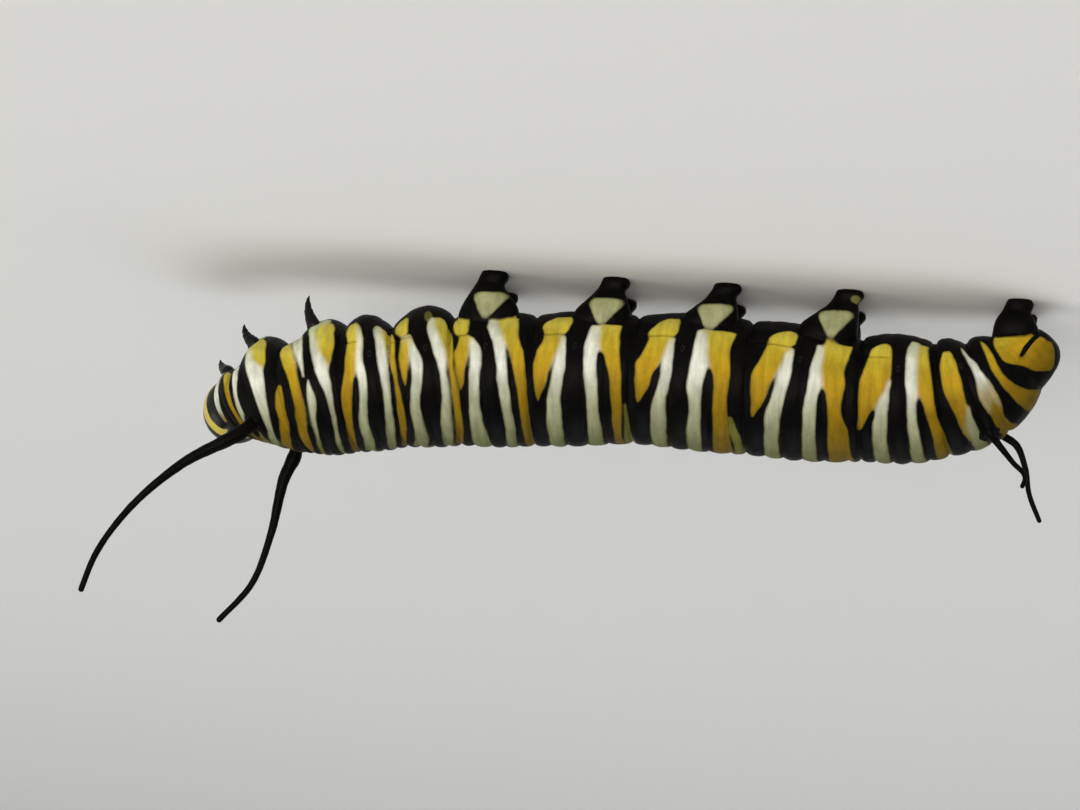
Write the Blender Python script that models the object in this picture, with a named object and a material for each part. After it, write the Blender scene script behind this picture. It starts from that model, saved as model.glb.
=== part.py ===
"""A full-grown monarch larva, life size, standing on its prolegs with its front end lifted and turned aside.

Sizes are in millimetres and angles in degrees. +X runs along the straight middle of the body towards the
head, +Z is up through the back, and +Y is the animal's left. The soles of the prolegs lie at z = 0.
A place along the body is a number that grows by one per segment: 0 is the neck, 13 is the tail's tip.
An angle round the body is 0 at the middle of the back, 90 on the right flank and 180 under the belly.
"""

import math
from collections import namedtuple

import bmesh
import bpy
import numpy as np
from mathutils import Matrix, Vector

MM = 0.001
GAP = 0.30
SIDES = {"right": 1, "left": -1}

# The folds between segments: centre, half width, height above and depth below the centre, and the
# direction of the body there, turned to the left and risen from level.
Fold = namedtuple("Fold", "x y z half_width above below turn rise")
FOLDS = [
    Fold(14.85, 2.90, 6.00, 1.55, 1.55, 1.40, 56, 22),
    Fold(13.95, 1.65, 6.05, 2.00, 2.25, 1.48, 32, 26),
    Fold(11.65, 0.60, 5.85, 2.65, 2.85, 2.35, 14, 18),
    Fold(9.00, 0.15, 5.45, 2.95, 3.00, 2.75, 5, 9),
    Fold(6.75, 0.02, 5.15, 3.05, 2.95, 2.60, 1, 10),
    Fold(4.00, 0.00, 4.80, 3.10, 3.05, 2.95, 0, 7),
    Fold(0.30, 0.00, 4.55, 3.10, 3.10, 3.00, 0, 2),
    Fold(-4.45, 0.00, 4.30, 3.15, 2.95, 3.00, 0, 0),
    Fold(-9.80, 0.00, 4.35, 3.15, 3.10, 3.10, 0, 0),
    Fold(-15.05, 0.00, 4.60, 3.00, 2.85, 2.80, 2, 2),
    Fold(-18.75, -0.12, 4.40, 2.70, 2.65, 2.60, 5, 10),
    Fold(-20.75, -0.32, 3.75, 2.35, 2.30, 2.20, 9, 28),
    Fold(-22.00, -0.52, 2.60, 1.90, 1.80, 1.70, 12, 46),
    Fold(-23.42, -0.88, 1.28, 1.45, 1.55, 1.00, 14, 52),
]

# Each segment between two folds, with the lobe under its belly: how far it hangs and where it hangs most.
Segment = namedtuple("Segment", "node lobe lobe_place")
SEGMENTS = [
    Segment("prothorax", 0.05, 0.50),
    Segment("mesothorax", 0.72, 0.55),
    Segment("metathorax", 0.60, 0.60),
    Segment("abdomen_1", 0.58, 0.45),
    Segment("abdomen_2", 0.70, 0.50),
    Segment("abdomen_3", 0.05, 0.50),
    Segment("abdomen_4", 0.05, 0.50),
    Segment("abdomen_5", 0.05, 0.50),
    Segment("abdomen_6", 0.05, 0.50),
    Segment("abdomen_7", 0.22, 0.45),
    Segment("abdomen_8", 0.12, 0.45),
    Segment("abdomen_9", 0.05, 0.50),
    Segment("abdomen_10", 0.00, 0.50),
]
TAIL = len(SEGMENTS) - 1
FOLD_DEPTH = 0.08
SWELL = 0.22
LOBE_FULLNESS = 0.75
TAIL_ROUNDNESS = 2.8
BODY_SIDES = 32
BODY_RINGS = (0.0, 0.11, 0.26, 0.42, 0.58, 0.74, 0.89, 1.0)
TAIL_RINGS = (0.0, 0.15, 0.35, 0.55, 0.72, 0.86, 0.95)
TAIL_END = 0.96
ENDS = 1e-6
SHARP_ANGLE = 50

# Prolegs: sections from the sole up, as height, half length, half width, lean towards the head, inward, and
# how far the section lies ahead of the foot even on an upright leg.
Section = namedtuple("Section", "height half_length half_width lean inward ahead")
PROLEG_SECTIONS = [
    Section(0.00, 0.56, 0.44, 0.00, 0.00, 0.00),
    Section(0.22, 0.63, 0.50, 0.00, 0.00, 0.00),
    Section(0.52, 0.59, 0.47, 0.05, 0.00, 0.08),
    Section(0.78, 0.66, 0.51, 0.14, 0.02, 0.12),
    Section(1.15, 0.98, 0.70, 0.44, 0.06, 0.06),
    Section(1.60, 1.30, 0.88, 0.80, 0.12, 0.00),
    Section(2.20, 1.48, 1.00, 1.00, 0.20, 0.00),
    Section(3.00, 1.50, 1.00, 1.05, 0.35, 0.00),
]
ANAL_SECTIONS = [
    Section(0.00, 0.54, 0.42, 0.00, 0.00, 0.00),
    Section(0.20, 0.60, 0.48, 0.00, 0.00, 0.00),
    Section(0.50, 0.58, 0.46, 0.00, 0.02, 0.04),
    Section(0.85, 0.72, 0.56, 0.05, 0.06, 0.04),
    Section(1.25, 0.95, 0.68, 0.12, 0.12, 0.00),
    Section(1.80, 1.00, 0.74, 0.15, 0.25, 0.00),
]
PROLEG_SIDES = 16

# Prolegs of segments 3 to 6: the foot's place along X, and how far the leg leans forward as it rises.
Proleg = namedtuple("Proleg", "number foot_x lean")
PROLEGS = [
    Proleg(3, 2.45, 0.10),
    Proleg(4, -3.30, 0.60),
    Proleg(5, -8.53, 0.85),
    Proleg(6, -14.22, 1.00),
]
FOOT_Y = 1.8
ANAL_FOOT = {"right": (-22.05, -1.80), "left": (-22.28, 0.62)}

# Thoracic legs: where each is rooted, and where its claw ends, forward, outward and up from the root.
# The left ones are drawn in a little.
Leg = namedtuple("Leg", "node station angle tip left_share")
LEGS = [
    Leg("leg_1", 0.45, 150, (0.15, 0.05, -1.00), 0.95),
    Leg("leg_2", 1.56, 152, (0.20, 0.05, -1.20), 0.90),
    Leg("leg_3", 2.54, 155, (0.02, 0.02, -1.50), 0.80),
]
LEG_RADII = (0.44, 0.40, 0.33, 0.27, 0.25, 0.12)
LEG_SHARES = (0.0, 0.28, 0.52, 0.74, 0.90)
LEG_REACH = (0.7, 0.9)
LEG_SINK = 0.75
LEG_BEND = 0.12
LEG_SIDES = 10

# Fleshy tentacles: root station and angle, radius at root and tip, then the way points of the axis.
Tentacle = namedtuple("Tentacle", "node side station angle root_radius tip_radius way")
TENTACLES = [
    Tentacle("front_tentacle_right", 1, 1.33, 47, 0.34, 0.20,
             [(16.63, -1.10, 10.03), (18.85, -1.25, 12.40), (20.13, -1.30, 14.65), (20.63, -1.30, 16.45)]),
    Tentacle("front_tentacle_left", -1, 1.33, 47, 0.34, 0.20,
             [(12.95, 2.80, 9.57), (12.85, 3.10, 12.24), (13.55, 3.30, 14.64), (15.07, 3.50, 16.57)]),
    Tentacle("rear_tentacle_right", 1, 10.72, 22, 0.27, 0.20,
             [(-21.20, -1.10, 6.55), (-21.96, -1.45, 7.58), (-22.53, -1.78, 8.55), (-22.62, -1.85, 9.00)]),
    Tentacle("rear_tentacle_left", -1, 10.72, 36, 0.27, 0.20,
             [(-22.15, 1.00, 6.10), (-22.74, 1.05, 7.20), (-22.98, 1.05, 8.40), (-23.56, 1.00, 9.78)]),
]
TENTACLE_SIDES = 10
TENTACLE_RINGS = 22
TENTACLE_SINK = 0.9
TENTACLE_BASE_SHARE = 0.12
TENTACLE_END_SHARE = 0.6
TENTACLE_REACH = (1.3, 1.6)
PROLEG_REACH = 1.5
ANAL_STATIONS = (11, 13)

# The head: its frame, and its capsule's half sizes.
HEAD_AHEAD = 0.85
HEAD_DROP = 0.30
HEAD_TURN = 74
HEAD_RISE = 14
HEAD_ROLL = -10
HEAD_HALF_WIDTH = 1.60
HEAD_ABOVE = 1.66
HEAD_BELOW = 1.58
HEAD_HALF_DEPTH = 1.35
HEAD_ROUNDNESS = 2.35
HEAD_SIDES = 36
HEAD_DEPTHS = (-0.96, -0.86, -0.70, -0.48, -0.22, 0.06, 0.32, 0.55, 0.74, 0.88, 0.97)
SUTURE_DEPTH = 0.16
SUTURE_HALF_ANGLE = 9
NECK_SLAB = (4, 8, 8)

# The simple eyes of one side lie on an arc over the cheek: its middle forward, outward and up from the
# head's centre, its radius, how much of that radius runs forward and how far it wraps round the cheek.
EYE_RADIUS = 0.13
EYE_COUNT = 6
EYE_FIRST_ANGLE = -35
EYE_STEP = 48
EYE_MIDDLE = (0.72, 1.26, -0.62)
EYE_ARC_RADIUS = 0.34
EYE_FORWARD_SHARE = 0.75
EYE_WRAP = 0.22

# Rounded plates of the face, as length, width and height, then forward, outward and up from the head's
# centre, the pitch, and the rounding of the edges.
Plate = namedtuple("Plate", "size place pitch rounding")
CLYPEUS = Plate((0.60, 1.25, 0.62), (0.98, 0.0, -0.90), -24, 0.12)
LABRUM = Plate((0.46, 0.95, 0.50), (0.98, 0.0, -1.30), -14, 0.12)
MANDIBLE = Plate((0.72, 0.62, 0.78), (0.70, 0.48, -1.86), -12, 0.15)
LABIUM = Plate((0.58, 1.05, 0.70), (-0.10, 0.0, -1.88), 8, 0.15)
SPINNERET_WAY = [(-0.05, 0.0, -2.00), (0.04, 0.0, -2.30), (0.14, 0.0, -2.52)]
SPINNERET_RADII = (0.28, 0.26, 0.16)
SPINNERET_SIDES = 8
ANTENNA_WAY = [(0.75, 0.72, -1.00), (1.12, 0.84, -1.30), (1.30, 0.90, -1.48), (1.48, 0.95, -1.68)]
ANTENNA_RADII = (0.29, 0.28, 0.25, 0.14)
ANTENNA_SIDES = 10

# Colour and roughness of each kind of surface.
Finish = namedtuple("Finish", "colour roughness")
BANDED_SKIN = Finish((0.62, 0.55, 0.20), 0.45)
PROLEG_SKIN = Finish((0.012, 0.011, 0.010), 0.40)
LEG_SHELL = Finish((0.010, 0.009, 0.009), 0.30)
TENTACLE_SKIN = Finish((0.010, 0.009, 0.009), 0.35)
HEAD_SHELL = Finish((0.014, 0.012, 0.010), 0.28)
JAW_SHELL = Finish((0.030, 0.020, 0.015), 0.25)
LIP_SKIN = Finish((0.050, 0.040, 0.030), 0.35)


def unit(vector):
    """The vector at length one."""
    return vector / np.linalg.norm(vector)


def spline(values, place):
    """A smooth curve through the rows of values, whose first three columns are a point; place runs from 0."""
    count = len(values)
    index = min(max(int(math.floor(place)), 0), count - 2)
    share = place - index
    before = values[index - 1] if index > 0 else 2 * values[0] - values[1]
    after = values[index + 2] if index < count - 2 else 2 * values[-1] - values[-2]
    start, end = values[index], values[index + 1]
    step_in = np.linalg.norm((start - before)[:3])
    step = np.linalg.norm((end - start)[:3])
    step_out = np.linalg.norm((after - end)[:3])
    slope_start = ((end - start) / step * step_in + (start - before) / step_in * step) / (step_in + step)
    slope_end = ((after - end) / step_out * step + (end - start) / step * step_out) / (step + step_out)
    square, cube = share ** 2, share ** 3
    return ((2 * cube - 3 * square + 1) * start + (cube - 2 * square + share) * slope_start * step
            + (3 * square - 2 * cube) * end + (cube - square) * slope_end * step)


def directions(turn, rise):
    """Forward, right and up of something that is turned to the left and risen from level."""
    turn, rise = math.radians(turn), math.radians(rise)
    forward = np.array([math.cos(rise) * math.cos(turn), math.cos(rise) * math.sin(turn), math.sin(rise)])
    right = np.array([math.sin(turn), -math.cos(turn), 0.0])
    return forward, right, np.cross(right, forward)


def body_frame(station):
    """Centre, forward, right, up and the three half sizes of the body at a station."""
    row = spline(np.array(FOLDS, float), station)
    forward, right, up = directions(row[6], row[7])
    return row[:3], forward, right, up, row[3:6]


def swelling(station):
    """How far the skin stands out between two folds, and the belly lobe's extra depth."""
    number = min(max(int(station), 0), TAIL)
    share = min(max(station - number, 0.0), 1.0)
    crown = SWELL * math.sin(math.pi * share) ** 0.7 - FOLD_DEPTH
    segment = SEGMENTS[number]
    pulled = share ** (math.log(0.5) / math.log(segment.lobe_place))
    return crown, segment.lobe * math.sin(math.pi * pulled) ** LOBE_FULLNESS


def body_point(station, angle, lift=0.0):
    """A point on the skin, or that far above it."""
    centre, _, right, up, (half_width, above, below) = body_frame(station)
    crown, lobe = swelling(station)
    cosine, sine = math.cos(math.radians(angle)), math.sin(math.radians(angle))
    height = above if cosine > 0 else below
    closing = 1.0
    if station > TAIL:
        closing = max(1.0 - (station - TAIL) ** TAIL_ROUNDNESS, 0.0) ** (1 / TAIL_ROUNDNESS)
        crown = -FOLD_DEPTH
    height = (height + crown) * closing + lift
    width = (half_width + crown) * closing + lift
    if cosine < 0:
        height += lobe * abs(cosine) ** 0.5
    return centre + up * cosine * height + right * sine * width


def body_ring(station, lift=0.0, shift=0.0):
    forward = body_frame(station)[1]
    angles = np.arange(BODY_SIDES) * 360 / BODY_SIDES
    return [body_point(station, angle, lift) + forward * shift for angle in angles]


def loft(rings, first=None, last=None):
    """A closed mesh through rings of points, fanned at each end to its centre or to the point given."""
    shape = bmesh.new()
    rows = [[shape.verts.new(Vector(point) * MM) for point in ring] for ring in rings]
    for row, following in zip(rows, rows[1:]):
        for index in range(len(row)):
            neighbour = (index + 1) % len(row)
            shape.faces.new((row[index], row[neighbour], following[neighbour], following[index]))
    for row, ring, end in ((rows[0], rings[0], first), (rows[-1], rings[-1], last)):
        middle = shape.verts.new(Vector(np.mean(ring, axis=0) if end is None else end) * MM)
        for index in range(len(row)):
            shape.faces.new((row[index], row[(index + 1) % len(row)], middle))
    bmesh.ops.triangulate(shape, faces=shape.faces[:])
    bmesh.ops.recalc_face_normals(shape, faces=shape.faces[:])
    return shape


def tube(points, radii, sides, tip=None):
    """A round tapered tube along points, ended flat or at a tip."""
    points = [np.array(point, float) for point in points]
    rings = []
    across = None
    for index, (point, radius) in enumerate(zip(points, radii)):
        behind, ahead = points[max(index - 1, 0)], points[min(index + 1, len(points) - 1)]
        along = unit(ahead - behind)
        across = np.array([0.3, 1.0, 0.2]) if across is None else across
        across = unit(across - along * across.dot(along))
        other = np.cross(along, across)
        turns = np.arange(sides) * 2 * math.pi / sides
        rings.append([point + radius * (across * math.cos(a) + other * math.sin(a)) for a in turns])
    return loft(rings, last=tip)


def add_object(name, shape, material=None):
    """Makes an object of a bmesh, smooth except at its edges."""
    mesh = bpy.data.meshes.new(name)
    shape.to_mesh(mesh)
    shape.free()
    mesh.shade_smooth()
    mesh.set_sharp_from_angle(angle=math.radians(SHARP_ANGLE))
    obj = bpy.data.objects.new(name, mesh)
    bpy.context.scene.collection.objects.link(obj)
    if material:
        mesh.materials.append(material)
    return obj


def keep_largest(mesh):
    """Leaves only the closed surface that reaches furthest."""
    shape = bmesh.new()
    shape.from_mesh(mesh)
    islands = []
    left = set(shape.verts)
    while left:
        island = {left.pop()}
        front = list(island)
        while front:
            for edge in front.pop().link_edges:
                for vert in edge.verts:
                    if vert in left:
                        left.discard(vert)
                        island.add(vert)
                        front.append(vert)
        islands.append(island)

    def reach(island):
        places = np.array([vert.co for vert in island])
        return np.prod(places.max(axis=0) - places.min(axis=0))

    largest = max(islands, key=reach)
    bmesh.ops.delete(shape, geom=[vert for vert in shape.verts if vert not in largest], context="VERTS")
    bmesh.ops.dissolve_degenerate(shape, dist=2e-6, edges=shape.edges[:])
    bmesh.ops.triangulate(shape, faces=shape.faces[:])
    shape.to_mesh(mesh)
    shape.free()


def combine(obj, tools, operation):
    """Applies one Boolean of obj with the tool objects, then removes the tools."""
    group = bpy.data.collections.new("tools")
    bpy.context.scene.collection.children.link(group)
    for tool in tools:
        bpy.context.scene.collection.objects.unlink(tool)
        group.objects.link(tool)
    boolean = obj.modifiers.new("combine", "BOOLEAN")
    boolean.operation = operation
    boolean.solver = "EXACT"
    boolean.operand_type = "COLLECTION"
    boolean.collection = group
    bpy.context.view_layer.update()
    graph = bpy.context.evaluated_depsgraph_get()
    result = bpy.data.meshes.new_from_object(obj.evaluated_get(graph))
    obj.modifiers.clear()
    keep_largest(result)
    result.shade_smooth()
    result.set_sharp_from_angle(angle=math.radians(SHARP_ANGLE))
    result.materials.clear()
    for material in obj.data.materials:
        result.materials.append(material)
    obj.data = result
    for tool in tools:
        bpy.data.objects.remove(tool)
    bpy.data.collections.remove(group)


def make_material(name, finish):
    """A material with the finish's colour and roughness."""
    material = bpy.data.materials.new(name)
    material.use_nodes = True
    shader = material.node_tree.nodes["Principled BSDF"]
    shader.inputs["Base Color"].default_value = (*finish.colour, 1.0)
    shader.inputs["Roughness"].default_value = finish.roughness
    material.diffuse_color = (*finish.colour, 1.0)
    return material


def clearance_body(first, last):
    """The body between two stations, grown by the gap on every side, to cut roots clear of it."""
    places = np.linspace(max(first, 0.0), min(last, TAIL + TAIL_END), 25)
    return add_object("clearance", loft([body_ring(place, lift=GAP) for place in places]))


def build_segment(number, segment):
    """One segment, cut square to the body at each fold, or rounded off at the tail."""
    shares = TAIL_RINGS if number == TAIL else BODY_RINGS
    rings = []
    for share in shares:
        shift = 0.0
        if share == 0.0:
            shift = -GAP / 2
        if share == 1.0:
            shift = GAP / 2
        place = number + min(max(share, ENDS), 1 - ENDS)
        rings.append(body_ring(place, shift=shift))
    last = body_frame(TAIL + 1)[0] if number == TAIL else None
    return add_object(segment.node, loft(rings, last=last), make_material(segment.node, BANDED_SKIN))


def rounded_section(centre, half_length, half_width, height, sides):
    """A level ring between an ellipse and a rectangle."""
    ring = []
    for turn in np.arange(sides) * 2 * math.pi / sides:
        cosine, sine = math.cos(turn), math.sin(turn)
        along = math.copysign(abs(cosine) ** 0.8, cosine) * half_length
        across = math.copysign(abs(sine) ** 0.8, sine) * half_width
        ring.append((centre[0] + along, centre[1] + across, height))
    return ring


def build_proleg(node, foot, side, sections, lean, stations):
    """A fleshy leg from its flat sole up to the body's underside."""
    rings = []
    for section in sections:
        centre = (foot[0] + section.ahead + section.lean * lean, foot[1] + side * section.inward)
        rings.append(rounded_section(centre, section.half_length, section.half_width, section.height,
                                     PROLEG_SIDES))
    leg = add_object(node, loft(rings), make_material(node, PROLEG_SKIN))
    combine(leg, [clearance_body(*stations)], "DIFFERENCE")
    return leg


def build_leg(leg, side_name):
    """A jointed thoracic leg: three stout rings that narrow to a claw."""
    side = SIDES[side_name]
    centre, forward, right, up, _ = body_frame(leg.station)
    root = body_point(leg.station, side * leg.angle)
    inward = unit(centre - root)
    reach = forward * leg.tip[0] + right * side * leg.tip[1] + up * leg.tip[2]
    if side_name == "left":
        reach = reach * leg.left_share
    bend = forward * LEG_BEND
    points = [root + inward * LEG_SINK]
    points += [root + reach * share + bend * math.sin(math.pi * share) for share in LEG_SHARES]
    node = f"{leg.node}_{side_name}"
    shape = tube(points, LEG_RADII, LEG_SIDES, tip=root + reach)
    obj = add_object(node, shape, make_material(node, LEG_SHELL))
    combine(obj, [clearance_body(leg.station - LEG_REACH[0], leg.station + LEG_REACH[1])], "DIFFERENCE")
    return obj


def build_tentacle(tentacle):
    """A long soft horn on a smooth curve, a little stouter at its root."""
    centre = body_frame(tentacle.station)[0]
    root = body_point(tentacle.station, tentacle.side * tentacle.angle)
    inward = unit(centre - root)
    first = np.array(tentacle.way[0])
    way = np.array([root + inward * TENTACLE_SINK, root + (first - root) * TENTACLE_BASE_SHARE]
                   + [np.array(point) for point in tentacle.way])
    places = np.linspace(0, len(way) - 1, TENTACLE_RINGS)
    points = [spline(way, place) for place in places]
    radii = np.linspace(tentacle.root_radius, tentacle.tip_radius, TENTACLE_RINGS)
    radii[-1] *= TENTACLE_END_SHARE
    shape = tube(points, radii, TENTACLE_SIDES)
    obj = add_object(tentacle.node, shape, make_material(tentacle.node, TENTACLE_SKIN))
    near, far = tentacle.station - TENTACLE_REACH[0], tentacle.station + TENTACLE_REACH[1]
    combine(obj, [clearance_body(near, far)], "DIFFERENCE")
    return obj


def head_frame():
    """The head's centre, and its forward, right and up."""
    neck, forward, _, _, _ = body_frame(0)
    head_forward, right, up = directions(HEAD_TURN, HEAD_RISE)
    roll = math.radians(HEAD_ROLL)
    rolled_right = right * math.cos(roll) + up * math.sin(roll)
    rolled_up = up * math.cos(roll) - right * math.sin(roll)
    return neck + forward * HEAD_AHEAD - up * HEAD_DROP, head_forward, rolled_right, rolled_up


def head_place(forward_mm, right_mm, up_mm):
    """A point given forward, right and up from the head's centre."""
    centre, forward, right, up = head_frame()
    return centre + forward * forward_mm + right * right_mm + up * up_mm


def head_ring(depth, lift=0.0):
    """The capsule's outline at a depth from -1 at the back to 1 at the face, notched at the crown."""
    half_depth = HEAD_HALF_DEPTH + lift
    closing = (1 - abs(depth) ** HEAD_ROUNDNESS) ** (1 / HEAD_ROUNDNESS)
    ring = []
    for angle in np.arange(HEAD_SIDES) * 360 / HEAD_SIDES:
        cosine, sine = math.cos(math.radians(angle)), math.sin(math.radians(angle))
        height = HEAD_ABOVE if cosine > 0 else HEAD_BELOW
        from_crown = min(angle, 360 - angle)
        notch = SUTURE_DEPTH * math.exp(-(from_crown / SUTURE_HALF_ANGLE) ** 2)
        ring.append(head_place(depth * half_depth,
                               sine * (HEAD_HALF_WIDTH + lift) * closing,
                               cosine * (height + lift - notch) * closing))
    return ring


def head_shape(lift=0.0):
    """The capsule, or the capsule grown by the lift."""
    half_depth = HEAD_HALF_DEPTH + lift
    return loft([head_ring(depth, lift) for depth in HEAD_DEPTHS],
                first=head_place(-half_depth, 0, 0), last=head_place(half_depth, 0, 0))


def head_plate(name, plate, side=1, material=None):
    """One of the rounded plates of the face."""
    shape = bmesh.new()
    bmesh.ops.create_cube(shape, size=1.0)
    bmesh.ops.scale(shape, vec=Vector(plate.size) * MM, verts=shape.verts[:])
    bmesh.ops.bevel(shape, geom=shape.edges[:] + shape.verts[:], offset=plate.rounding * MM, segments=2,
                    affect="EDGES", profile=0.5)
    _, forward, right, up = head_frame()
    turn = Matrix((forward, -right, up)).transposed().to_4x4()
    turn = turn @ Matrix.Rotation(math.radians(plate.pitch), 4, "Y")
    bmesh.ops.transform(shape, matrix=turn, verts=shape.verts[:])
    middle = head_place(plate.place[0], side * plate.place[1], plate.place[2])
    bmesh.ops.translate(shape, vec=Vector(middle) * MM, verts=shape.verts[:])
    bmesh.ops.triangulate(shape, faces=shape.faces[:])
    return add_object(name, shape, material)


def eye_places():
    """The simple eyes of one side, as forward, outward and up from the head's centre."""
    for index in range(EYE_COUNT):
        swing = math.radians(EYE_FIRST_ANGLE + EYE_STEP * index)
        yield (EYE_MIDDLE[0] + EYE_ARC_RADIUS * EYE_FORWARD_SHARE * math.cos(swing),
               EYE_MIDDLE[1] - EYE_WRAP * math.cos(swing),
               EYE_MIDDLE[2] + EYE_ARC_RADIUS * math.sin(swing))


def build_head():
    """The capsule with its clypeus, upper lip and simple eyes, cut flat where it meets the neck."""
    shell = add_object("head", head_shape(), make_material("head", HEAD_SHELL))
    fused = [head_plate("clypeus", CLYPEUS), head_plate("labrum", LABRUM)]
    for side in SIDES.values():
        for forward, outward, up in eye_places():
            shape = bmesh.new()
            bmesh.ops.create_icosphere(shape, subdivisions=1, radius=EYE_RADIUS * MM)
            bmesh.ops.translate(shape, vec=Vector(head_place(forward, side * outward, up)) * MM,
                                verts=shape.verts[:])
            fused.append(add_object("eye", shape))
    combine(shell, fused, "UNION")
    neck, forward, right, up, _ = body_frame(0)
    slab = bmesh.new()
    bmesh.ops.create_cube(slab, size=1.0)
    bmesh.ops.scale(slab, vec=Vector(NECK_SLAB) * MM, verts=slab.verts[:])
    bmesh.ops.transform(slab, matrix=Matrix((forward, -right, up)).transposed().to_4x4(),
                        verts=slab.verts[:])
    bmesh.ops.translate(slab, vec=Vector(neck + forward * (GAP - NECK_SLAB[0]) / 2) * MM, verts=slab.verts[:])
    combine(shell, [add_object("slab", slab)], "DIFFERENCE")
    return shell


def build_mouthparts():
    """Two jaws under the upper lip, and the lower lip with its silk spinneret, cut clear of the capsule."""
    pieces = []
    for side_name, side in SIDES.items():
        node = f"mandible_{side_name}"
        pieces.append(head_plate(node, MANDIBLE, side, make_material(node, JAW_SHELL)))
    lip = head_plate("labium", LABIUM, material=make_material("labium", LIP_SKIN))
    cone = tube([head_place(*place) for place in SPINNERET_WAY], SPINNERET_RADII, SPINNERET_SIDES)
    combine(lip, [add_object("spinneret", cone)], "UNION")
    pieces.append(lip)
    for piece in pieces:
        combine(piece, [add_object("clearance", head_shape(GAP))], "DIFFERENCE")
    for side_name, side in SIDES.items():
        node = f"antenna_{side_name}"
        points = [head_place(forward, side * outward, up) for forward, outward, up in ANTENNA_WAY]
        shape = tube(points, ANTENNA_RADII, ANTENNA_SIDES)
        feeler = add_object(node, shape, make_material(node, LIP_SKIN))
        combine(feeler, [add_object("clearance", head_shape(GAP))], "DIFFERENCE")


def set_origin():
    """Puts every piece on one empty, so that the origin is at the middle of the box's base."""
    root = bpy.data.objects.new("larva", None)
    pieces = [obj for obj in bpy.context.scene.objects if obj.type == "MESH"]
    bpy.context.scene.collection.objects.link(root)
    places = np.array([vert.co for obj in pieces for vert in obj.data.vertices])
    low, high = places.min(axis=0), places.max(axis=0)
    root.location = (-(low[0] + high[0]) / 2, -(low[1] + high[1]) / 2, -low[2])
    for obj in pieces:
        obj.parent = root


def main():
    """Builds every piece of the larva."""
    for obj in list(bpy.data.objects):
        bpy.data.objects.remove(obj)
    for number, segment in enumerate(SEGMENTS):
        build_segment(number, segment)
    for proleg in PROLEGS:
        station = proleg.number + 2.5
        for side_name, side in SIDES.items():
            build_proleg(f"proleg_{proleg.number}_{side_name}", (proleg.foot_x, -side * FOOT_Y), side,
                         PROLEG_SECTIONS, proleg.lean,
                         (station - PROLEG_REACH, station + PROLEG_REACH))
    for side_name, side in SIDES.items():
        build_proleg(f"anal_proleg_{side_name}", ANAL_FOOT[side_name], side, ANAL_SECTIONS, 1.0,
                     ANAL_STATIONS)
        for leg in LEGS:
            build_leg(leg, side_name)
    for tentacle in TENTACLES:
        build_tentacle(tentacle)
    build_head()
    build_mouthparts()
    set_origin()


main()
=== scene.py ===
"""The looks of a full-grown monarch larva, life size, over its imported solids.

Lengths in the classes are millimetres on the animal: +X towards the head, +Z up through the back and +Y its
left. A station is a place along the body that grows by one per segment: 0 is the neck, 13 is the tail's tip.
An angle round the body is 0 at the middle of the back, 90 on the flank and 180 under the belly.
"""

import logging
import math
from dataclasses import dataclass
from enum import Enum
from functools import partial

import bpy
import numpy as np
from mathutils import Matrix, Vector, noise
from mathutils.kdtree import KDTree


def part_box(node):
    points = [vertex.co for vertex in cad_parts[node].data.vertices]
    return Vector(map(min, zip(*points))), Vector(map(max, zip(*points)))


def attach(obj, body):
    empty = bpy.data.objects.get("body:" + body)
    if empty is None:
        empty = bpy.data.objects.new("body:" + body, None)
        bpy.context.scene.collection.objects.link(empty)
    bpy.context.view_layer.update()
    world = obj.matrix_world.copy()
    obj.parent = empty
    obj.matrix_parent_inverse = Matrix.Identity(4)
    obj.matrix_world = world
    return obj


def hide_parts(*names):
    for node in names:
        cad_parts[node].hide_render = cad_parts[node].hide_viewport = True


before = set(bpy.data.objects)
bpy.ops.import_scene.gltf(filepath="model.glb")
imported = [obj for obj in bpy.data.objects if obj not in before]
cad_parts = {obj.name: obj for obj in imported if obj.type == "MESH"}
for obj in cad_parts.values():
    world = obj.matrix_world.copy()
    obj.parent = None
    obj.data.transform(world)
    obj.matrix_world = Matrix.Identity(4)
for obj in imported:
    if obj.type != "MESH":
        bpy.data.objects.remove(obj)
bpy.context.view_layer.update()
LOG = logging.getLogger("larva")
MM = 0.001
# The depth in mm of a place that lies in no marking at all.
FAR_OUTSIDE = -5.0
Points = np.ndarray
Floats = tuple[float, ...]
Pair = tuple[float, float]
Triple = tuple[float, float, float]
Piece = bpy.types.Object
Node = bpy.types.Node


class Side(Enum):
    """The two flanks; the value is the sign of an angle round the body on that flank."""
    RIGHT = 1
    LEFT = -1

    @property
    def label(self) -> str:
        """The word used in the names of pieces."""
        return self.name.lower()


class Tint(Enum):
    """The tints of the bands: white and yellow pigment, olive for painted shade on the pale bands, and black
    for the strokes that notch the pale ones.
    """
    WHITE = "white"
    YELLOW = "yellow"
    OLIVE_AND_SHADE = "olive_and_shade"
    BLACK = "black"


# Small shared tools


def unit(vectors: Points) -> Points:
    """Rows (or one vector) scaled to length one."""
    return vectors / np.maximum(np.linalg.norm(vectors, axis=-1, keepdims=True), 1e-12)


def smooth_step(values: Points, low: float, high: float) -> Points:
    """A soft switch from 0 at low to 1 at high."""
    share = np.clip((values - low) / (high - low), 0.0, 1.0)
    return share * share * (3 - 2 * share)


def soft_min(first: Points, second: Points, softness: float) -> Points:
    """The smaller of two fields, rounded where they are equal."""
    share = np.clip(0.5 + 0.5 * (second - first) / softness, 0.0, 1.0)
    return second * (1 - share) + first * share - softness * share * (1 - share)


def soft_max(first: Points, second: Points, softness: float) -> Points:
    """The larger of two fields, filled in where they are equal."""
    return -soft_min(-first, -second, softness)


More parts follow.
